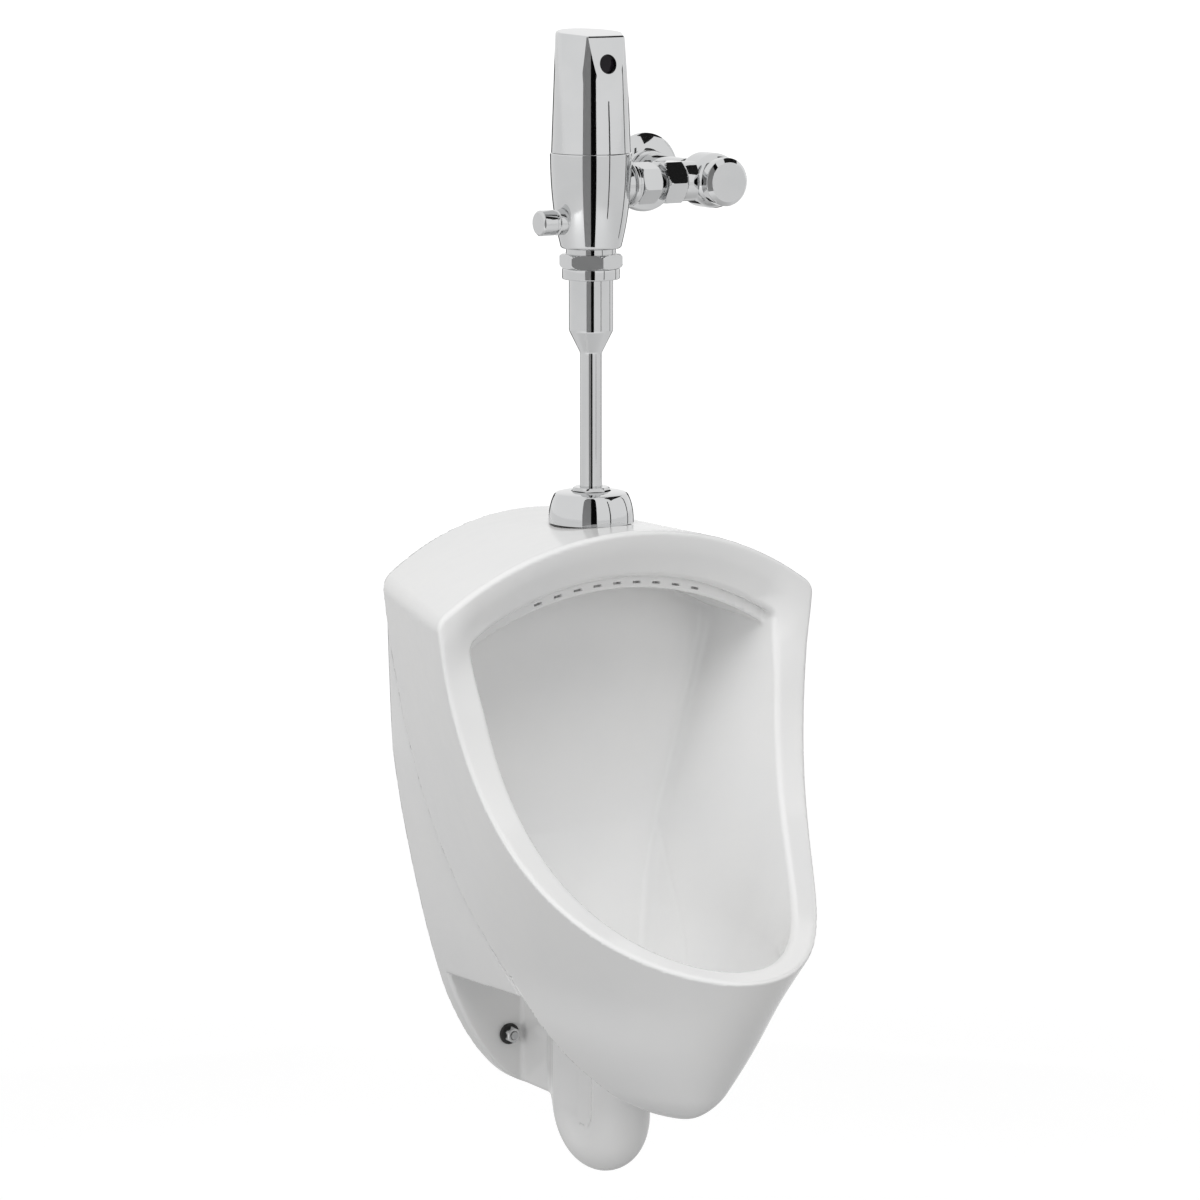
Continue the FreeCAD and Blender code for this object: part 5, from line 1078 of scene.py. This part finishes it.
def cover_ring(height, inset):
    """One half ring of the cover from front to back: angles and radii with flat front and cheeks."""
    drop = COVER_TOP - height
    radius = COVER_R - COVER_TAPER * (height - COVER_FOOT) / (COVER_TOP - COVER_FOOT) - inset
    front = FRONT_FLAT + drop * FRONT_LEAN - inset
    cheek = CHEEK_FLAT + drop * CHEEK_LEAN - inset
    front_edge = max(math.acos(min(front / radius, 1)), EDGE_GAP)
    cheek_half = max(math.acos(min(cheek / radius, 1)), EDGE_GAP)
    low = CHEEK_ANGLE - cheek_half
    if front_edge > low - EDGE_GAP:
        split = math.atan((cheek / front - math.cos(CHEEK_ANGLE)) / math.sin(CHEEK_ANGLE))
        front_edge = split - EDGE_GAP / 2
        low = split + EDGE_GAP / 2
    stops = [0, front_edge, low, CHEEK_ANGLE + cheek_half, math.pi]
    angles = [0.0]
    for first, last, count in zip(stops, stops[1:], (10, 8, 16, 40)):
        angles += [first + (last - first) * (n + 1) / count for n in range(count)]
    radii = []
    for angle in angles:
        reach = radius
        for flat, turn in ((front, 0), (cheek, CHEEK_ANGLE)):
            if abs(angle - turn) < SIDE_ON:
                reach = min(reach, flat / math.cos(angle - turn))
        radii.append(reach)
    return angles, radii


def cover_top(reach, angle, lower):
    """Height of the sloping top, which is lower in front."""
    return COVER_TOP - reach * math.cos(angle) * TOP_SLOPE - lower


def cover_skin(inset, rounding):
    """Rings of points of the cover, from its foot up over the rounded edge to the middle of the top."""
    rings = []
    steps = 40
    turns = 14
    for n in range(steps + 1):
        ring = []
        share = n / steps
        rough = COVER_FOOT + (COVER_TOP - COVER_FOOT - rounding - ROUGH_DROP) * share
        for angle, reach in zip(*cover_ring(rough, inset)):
            top = cover_top(reach, angle, inset) - rounding
            ring.append((angle, reach, COVER_FOOT + (top - COVER_FOOT) * share))
        rings.append(ring)
    edge = rings[-1]
    for n in range(1, turns + 1):
        turn = math.pi / 2 * n / turns
        ring = []
        for angle, reach, _ in edge:
            near = reach - rounding * (1 - math.cos(turn))
            ring.append((angle, near, cover_top(near, angle, inset) - rounding * (1 - math.sin(turn))))
        rings.append(ring)
    rim = rings[-1]
    for share in (0.75, 0.5, 0.25, 0.0):
        rings.append([(a, reach * share, cover_top(reach * share, a, inset)) for a, reach, _ in rim])
    return rings


def cover_points(ring):
    """Places of a half ring and its mirror image, all the way round."""
    half = []
    for angle, reach, height in ring:
        half.append((reach * math.sin(angle), -VALVE_DEPTH - reach * math.cos(angle), CHINA_TOP + height))
    mirrored = [(-x, y, z) for x, y, z in half[-2:0:-1]]
    return half + mirrored


def cover_shell():
    """The cover as a hollow shell without its window hole."""
    form = bmesh.new()
    feet = []
    for inset, rounding in ((0.0, COVER_ROUND), (COVER_WALL, COVER_INNER_ROUND)):
        rings = []
        for ring in cover_skin(inset, rounding):
            rings.append([form.verts.new([v * MM for v in point]) for point in cover_points(ring)])
        for below, over in zip(rings, rings[1:]):
            for n in range(len(below)):
                m = (n + 1) % len(below)
                form.faces.new((below[n], below[m], over[m], over[n]))
        feet.append(rings[0])
    outer, inner = feet
    for n in range(len(outer)):
        m = (n + 1) % len(outer)
        form.faces.new((outer[m], outer[n], inner[n], inner[m]))
    bmesh.ops.remove_doubles(form, verts=form.verts, dist=2e-6)
    bmesh.ops.dissolve_degenerate(form, dist=1e-6, edges=form.edges)
    bmesh.ops.recalc_face_normals(form, faces=form.faces)
    mesh = bpy.data.meshes.new("cover_shell")
    form.to_mesh(mesh)
    form.free()
    mesh.materials.append(CHROME)
    return placed("cover_shell", mesh)


def cover():
    shell = cover_shell()
    bore = [(0, 10), (8.3, 10), (8.3, 45), (0, 45)]
    place = (0, -VALVE_DEPTH, CHINA_TOP + WINDOW)
    core = turned(bore, place, ALONG_MINUS_Y, closed=False, segments=72)
    drill = finished("drill", [core], TURNED_EDGE)
    cut = shell.modifiers.new("window_hole", "BOOLEAN")
    cut.object = drill
    cut.operation = "DIFFERENCE"
    cut.solver = "EXACT"
    drilled = plain_mesh(shell)
    bpy.data.objects.remove(drill)
    drilled.materials.clear()
    drilled.materials.append(CHROME)
    chrome_piece("sensor_cover", [drilled], COVER_EDGE, "lifting_cover")


def button():
    push = [(0, 53), (9.6, 53, 0.8), (11, 51.4, 0.9), (11, 39, 0.5), (9.9, 38.4, 0.3), (9.9, 36.2, 0.3)]
    push += [(11, 35.6, 0.5), (11, 27, 0.5), (4, 27), (4, 14.5, 0.4), (0, 14.5)]
    mesh = turned(push, BUTTON, ALONG_MINUS_X, closed=False)
    chrome_piece("override_button", [mesh], body="button")


# Pieces of the supply and of the wall bolts


def tail():
    half = 18.47
    pipe = [(10.6, 34), (13, 34, 0.4), (13, 96, 0.4), (10.6, 96)]
    nut = arc((15.6, 44.3), (17.8, 44.6), (half, 46.4), 6) + [(half, 50), (half, 57.6)]
    nut += arc((half, 61), (17.8, 62.9), (15.4, 63.3), 6) + [(12.9, 63.3), (12.9, 44.3)]
    milled = turned(nut, INLET, ALONG_X, milling=(6, 32, 15), segments=240)
    chrome_piece("tailpiece", [turned(pipe, INLET, ALONG_X), milled], MILLED_EDGE)


def tail_nut():
    half = 20.5
    nut = arc((17, 68), (19.6, 68.4), (half, 70.4), 6) + [(half, 74), (half, 83)]
    nut += arc((half, 85.6), (19.6, 87.6), (17, 88), 6) + [(13.2, 88), (13.2, 68)]
    milled = turned(nut, INLET, ALONG_X, milling=(6, 35.5, 0), segments=240)
    chrome_piece("tail_coupling_nut", [milled], MILLED_EDGE)


def stop():
    ball = [(13, -40), (15.2, -40, 0.6), (15.2, -22, 2)] + arc((16.6, -20.5), (24, -16), (24, -8))
    ball += [(24, 8)] + arc((24, 8), (24, 15), (18.2, 20)) + [(18, 25, 0.5), (13, 25)]
    arm = [(12, 10), (17.5, 10), (17.5, 32.3, 1.2), (15.5, 32.3), (15.5, 40.6, 0.8), (12, 40.6)]
    parts = [
        turned(ball, STOP, ALONG_MINUS_Y, segments=144),
        turned(arm, STOP, ALONG_MINUS_X),
    ]
    chrome_piece("stop_body", parts)

    lid = [(0, 32.3), (17.2, 32.3, 0.8), (21, 28.9, 1.2), (21, 20.3, 0.6), (18.4, 20.3), (18.4, 30), (0, 30)]
    mesh = turned(lid, STOP, ALONG_MINUS_Y, closed=False, segments=144)
    chrome_piece("stop_cap", [mesh], body="cap")


def wall_cover():
    sleeve = [(15.5, -105.7), (16.5, -105.7, 0.3), (16.5, -34, 0.3), (15.5, -34)]
    chrome_piece("cover_tube", [turned(sleeve, STOP, ALONG_MINUS_Y)])

    dome = [(35, -106), (35, -103.4, 0.8)] + arc((33.6, -102), (27, -99), (21.4, -97.8))
    dome += [(20, -97, 0.8), (20, -92, 0.8), (16.7, -92)]
    lining = [(16.7, -97)] + arc((20, -99), (27, -100.4), (33, -104)) + [(33.4, -106)]
    chrome_piece("wall_flange", [turned(dome + lining, STOP, ALONG_MINUS_Y, segments=144)])


def wall_fixings():
    """Nuts and washers of the wall bolts, each made once and set in both places."""
    half = 7.33
    nut = [(4.1, 22.05), (6.2, 22.05), (half, 22.7), (half, 27.6), (6.6, 28.6), (5.6, 29, 0.3), (4.1, 29)]
    washer = [(4.2, 19), (9.5, 19, 0.8), (9.5, 22, 0.8), (4.2, 22)]
    pieces = [
        ("bolt_nuts", nut, "chrome", (6, 12.7, 0)),
        ("bolt_washers", washer, "rubber", ROUND),
    ]
    for name, profile, slot, milling in pieces:
        pair = turned(
            profile, BOLT, ALONG_MINUS_Y, FINISHES[slot], milling=milling, segments=72, row=(2, -2 * BOLT[0])
        )
        stands_for(finished(name, [pair], MILLED_EDGE), name, "fixture")


# Studio, in metres

FLOOR_SIZE = 60.0
FLOOR_HEIGHT = -0.5
FLOOR_IN_METAL = 0.72
FRONT_HEIGHTS = (-0.25, 5.0)
THIN_HEIGHTS = (0.15, 1.4)
UPPER_HEIGHTS = (1.55, 3.6)
BACK_HEIGHTS = (-0.48, 0.75)
SKY = 0.35
EYE = (-2.176, -3.603, 1.045)
EYE_AIM = (0.52265, 0.83642, -0.16505)
EYE_LENS = 144
EYE_SENSOR = 36


def sheet(name, corners, finish):
    mesh = bpy.data.meshes.new(name)
    mesh.from_pydata(corners, [], [(0, 1, 2, 3)])
    mesh.materials.append(finish)
    piece = placed(name, mesh)
    return piece


def white_to_eye(tree, share=1.0):
    """1 for rays from the eye, a share for those seen in metal and glass, 0 for light on the object."""
    path = add_node(tree, "ShaderNodeLightPath").outputs
    mirrored = sums(tree, "MAXIMUM", path["Is Glossy Ray"], path["Is Transmission Ray"])
    return sums(tree, "MAXIMUM", path["Is Camera Ray"], sums(tree, "MULTIPLY", mirrored, share))


def floor_finish():
    """Pale floor that shows as white, more so further off, and keeps a soft shadow."""
    constants = {"Base Color": grey(0.54), "Roughness": 0.9, "Emission Color": grey(1)}
    finish, shader = finish_start("pale_floor", constants)
    tree = finish.node_tree
    factors = {0: object_place(tree)}
    away = add_node(tree, "ShaderNodeVectorMath", factors, operation="LENGTH").outputs["Value"]
    glow = graded(tree, away, 1.5, 7.0, 0.66, 0.88)
    share = graded(tree, away, 0.3, 1.4, 0.0, FLOOR_IN_METAL)
    feed(shader, {"Emission Strength": sums(tree, "MULTIPLY", white_to_eye(tree, share), glow)})
    return finish


def flag(name, start, end, distance, heights, shade):
    """A tall card that only metal and glaze show, between two directions from the valve in degrees."""
    constants = {"Base Color": grey(shade), "Roughness": 1.0, "Specular IOR Level": 0.0}
    finish = finish_start(name, constants)[0]
    foot, top = heights
    corners = []
    for angle, height in ((start, foot), (end, foot), (end, top), (start, top)):
        turn = math.radians(angle)
        corners.append((math.sin(turn) * distance, -math.cos(turn) * distance, height))
    card = sheet(name, corners, finish)
    card.visible_camera = False
    card.visible_diffuse = False
    card.visible_shadow = False


def looking(place, direction):
    """Matrix of a lamp or camera at a place that looks in a direction."""
    return Matrix.Translation(place) @ Vector(direction).to_track_quat("-Z", "Y").to_matrix().to_4x4()


def lamp(name, place, target, size, power):
    """A soft square lamp that metal and glaze don't show."""
    data = bpy.data.lights.new(name, "AREA")
    data.size = size
    data.energy = power
    light = placed(name, data)
    light.visible_glossy = False
    light.matrix_world = looking(place, Vector(target) - Vector(place))


def backdrop():
    """World that shows as white and gives a soft light all round."""
    world = bpy.data.worlds.new("studio")
    bpy.context.scene.world = world
    world.use_nodes = True
    tree = world.node_tree
    strength = sums(tree, "MULTIPLY_ADD", white_to_eye(tree), 1 - SKY, SKY)
    feed(tree.nodes["Background"], {"Color": grey(1), "Strength": strength})


def studio():
    size = FLOOR_SIZE
    corners = [(x * size, y * size, FLOOR_HEIGHT) for x, y in ((-1, -1), (1, -1), (1, 1), (-1, 1))]
    sheet("floor", corners, floor_finish())
    flag("dark_flag", -30, -15, 1.5, FRONT_HEIGHTS, 0.01)
    flag("grey_flag", -52, -30, 1.52, FRONT_HEIGHTS, 0.8)
    flag("thin_flag", 19, 22, 1.6, THIN_HEIGHTS, 0.05)
    flag("side_flag", 79, 83, 1.6, THIN_HEIGHTS, 0.1)
    flag("upper_flag", 34, 108, 1.8, UPPER_HEIGHTS, 0.02)
    flag("back_flag", 121, 139, 1.7, BACK_HEIGHTS, 0.05)
    flag("far_flag", 157, 176, 1.7, BACK_HEIGHTS, 0.05)
    backdrop()
    lamp("key_light", (-1.7, -1.9, 3.8), (0, -0.15, 0.3), 2.4, 102)
    lamp("fill_light", (0.3, -3.6, 1.2), (0, -0.15, 0.3), 2.0, 20)
    lamp("side_light", (-3.4, -1.1, 0.35), (0, -0.15, 0.1), 1.5, 22)

    lens = bpy.data.cameras.new("camera")
    lens.lens = EYE_LENS
    lens.sensor_width = EYE_SENSOR
    lens.sensor_fit = "HORIZONTAL"
    camera = placed("camera", lens)
    camera.matrix_world = looking(EYE, EYE_AIM)
    bpy.context.scene.camera = camera
    bpy.context.scene.view_settings.view_transform = "Standard"


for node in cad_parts.values():
    slot = node.data.materials[0].name.split(".")[0]
    node.data.materials.clear()
    node.data.materials.append(FINISHES[slot])

stands_for(china_piece(FINISHES["china"]), "urinal_body", "fixture")
valve_pieces = [escutcheon, spud_nut, tube, outlet_nut, barrel, cover, button]
supply_pieces = [tail, tail_nut, stop, wall_cover]
for build in valve_pieces + supply_pieces + [wall_fixings, studio]:
    build()
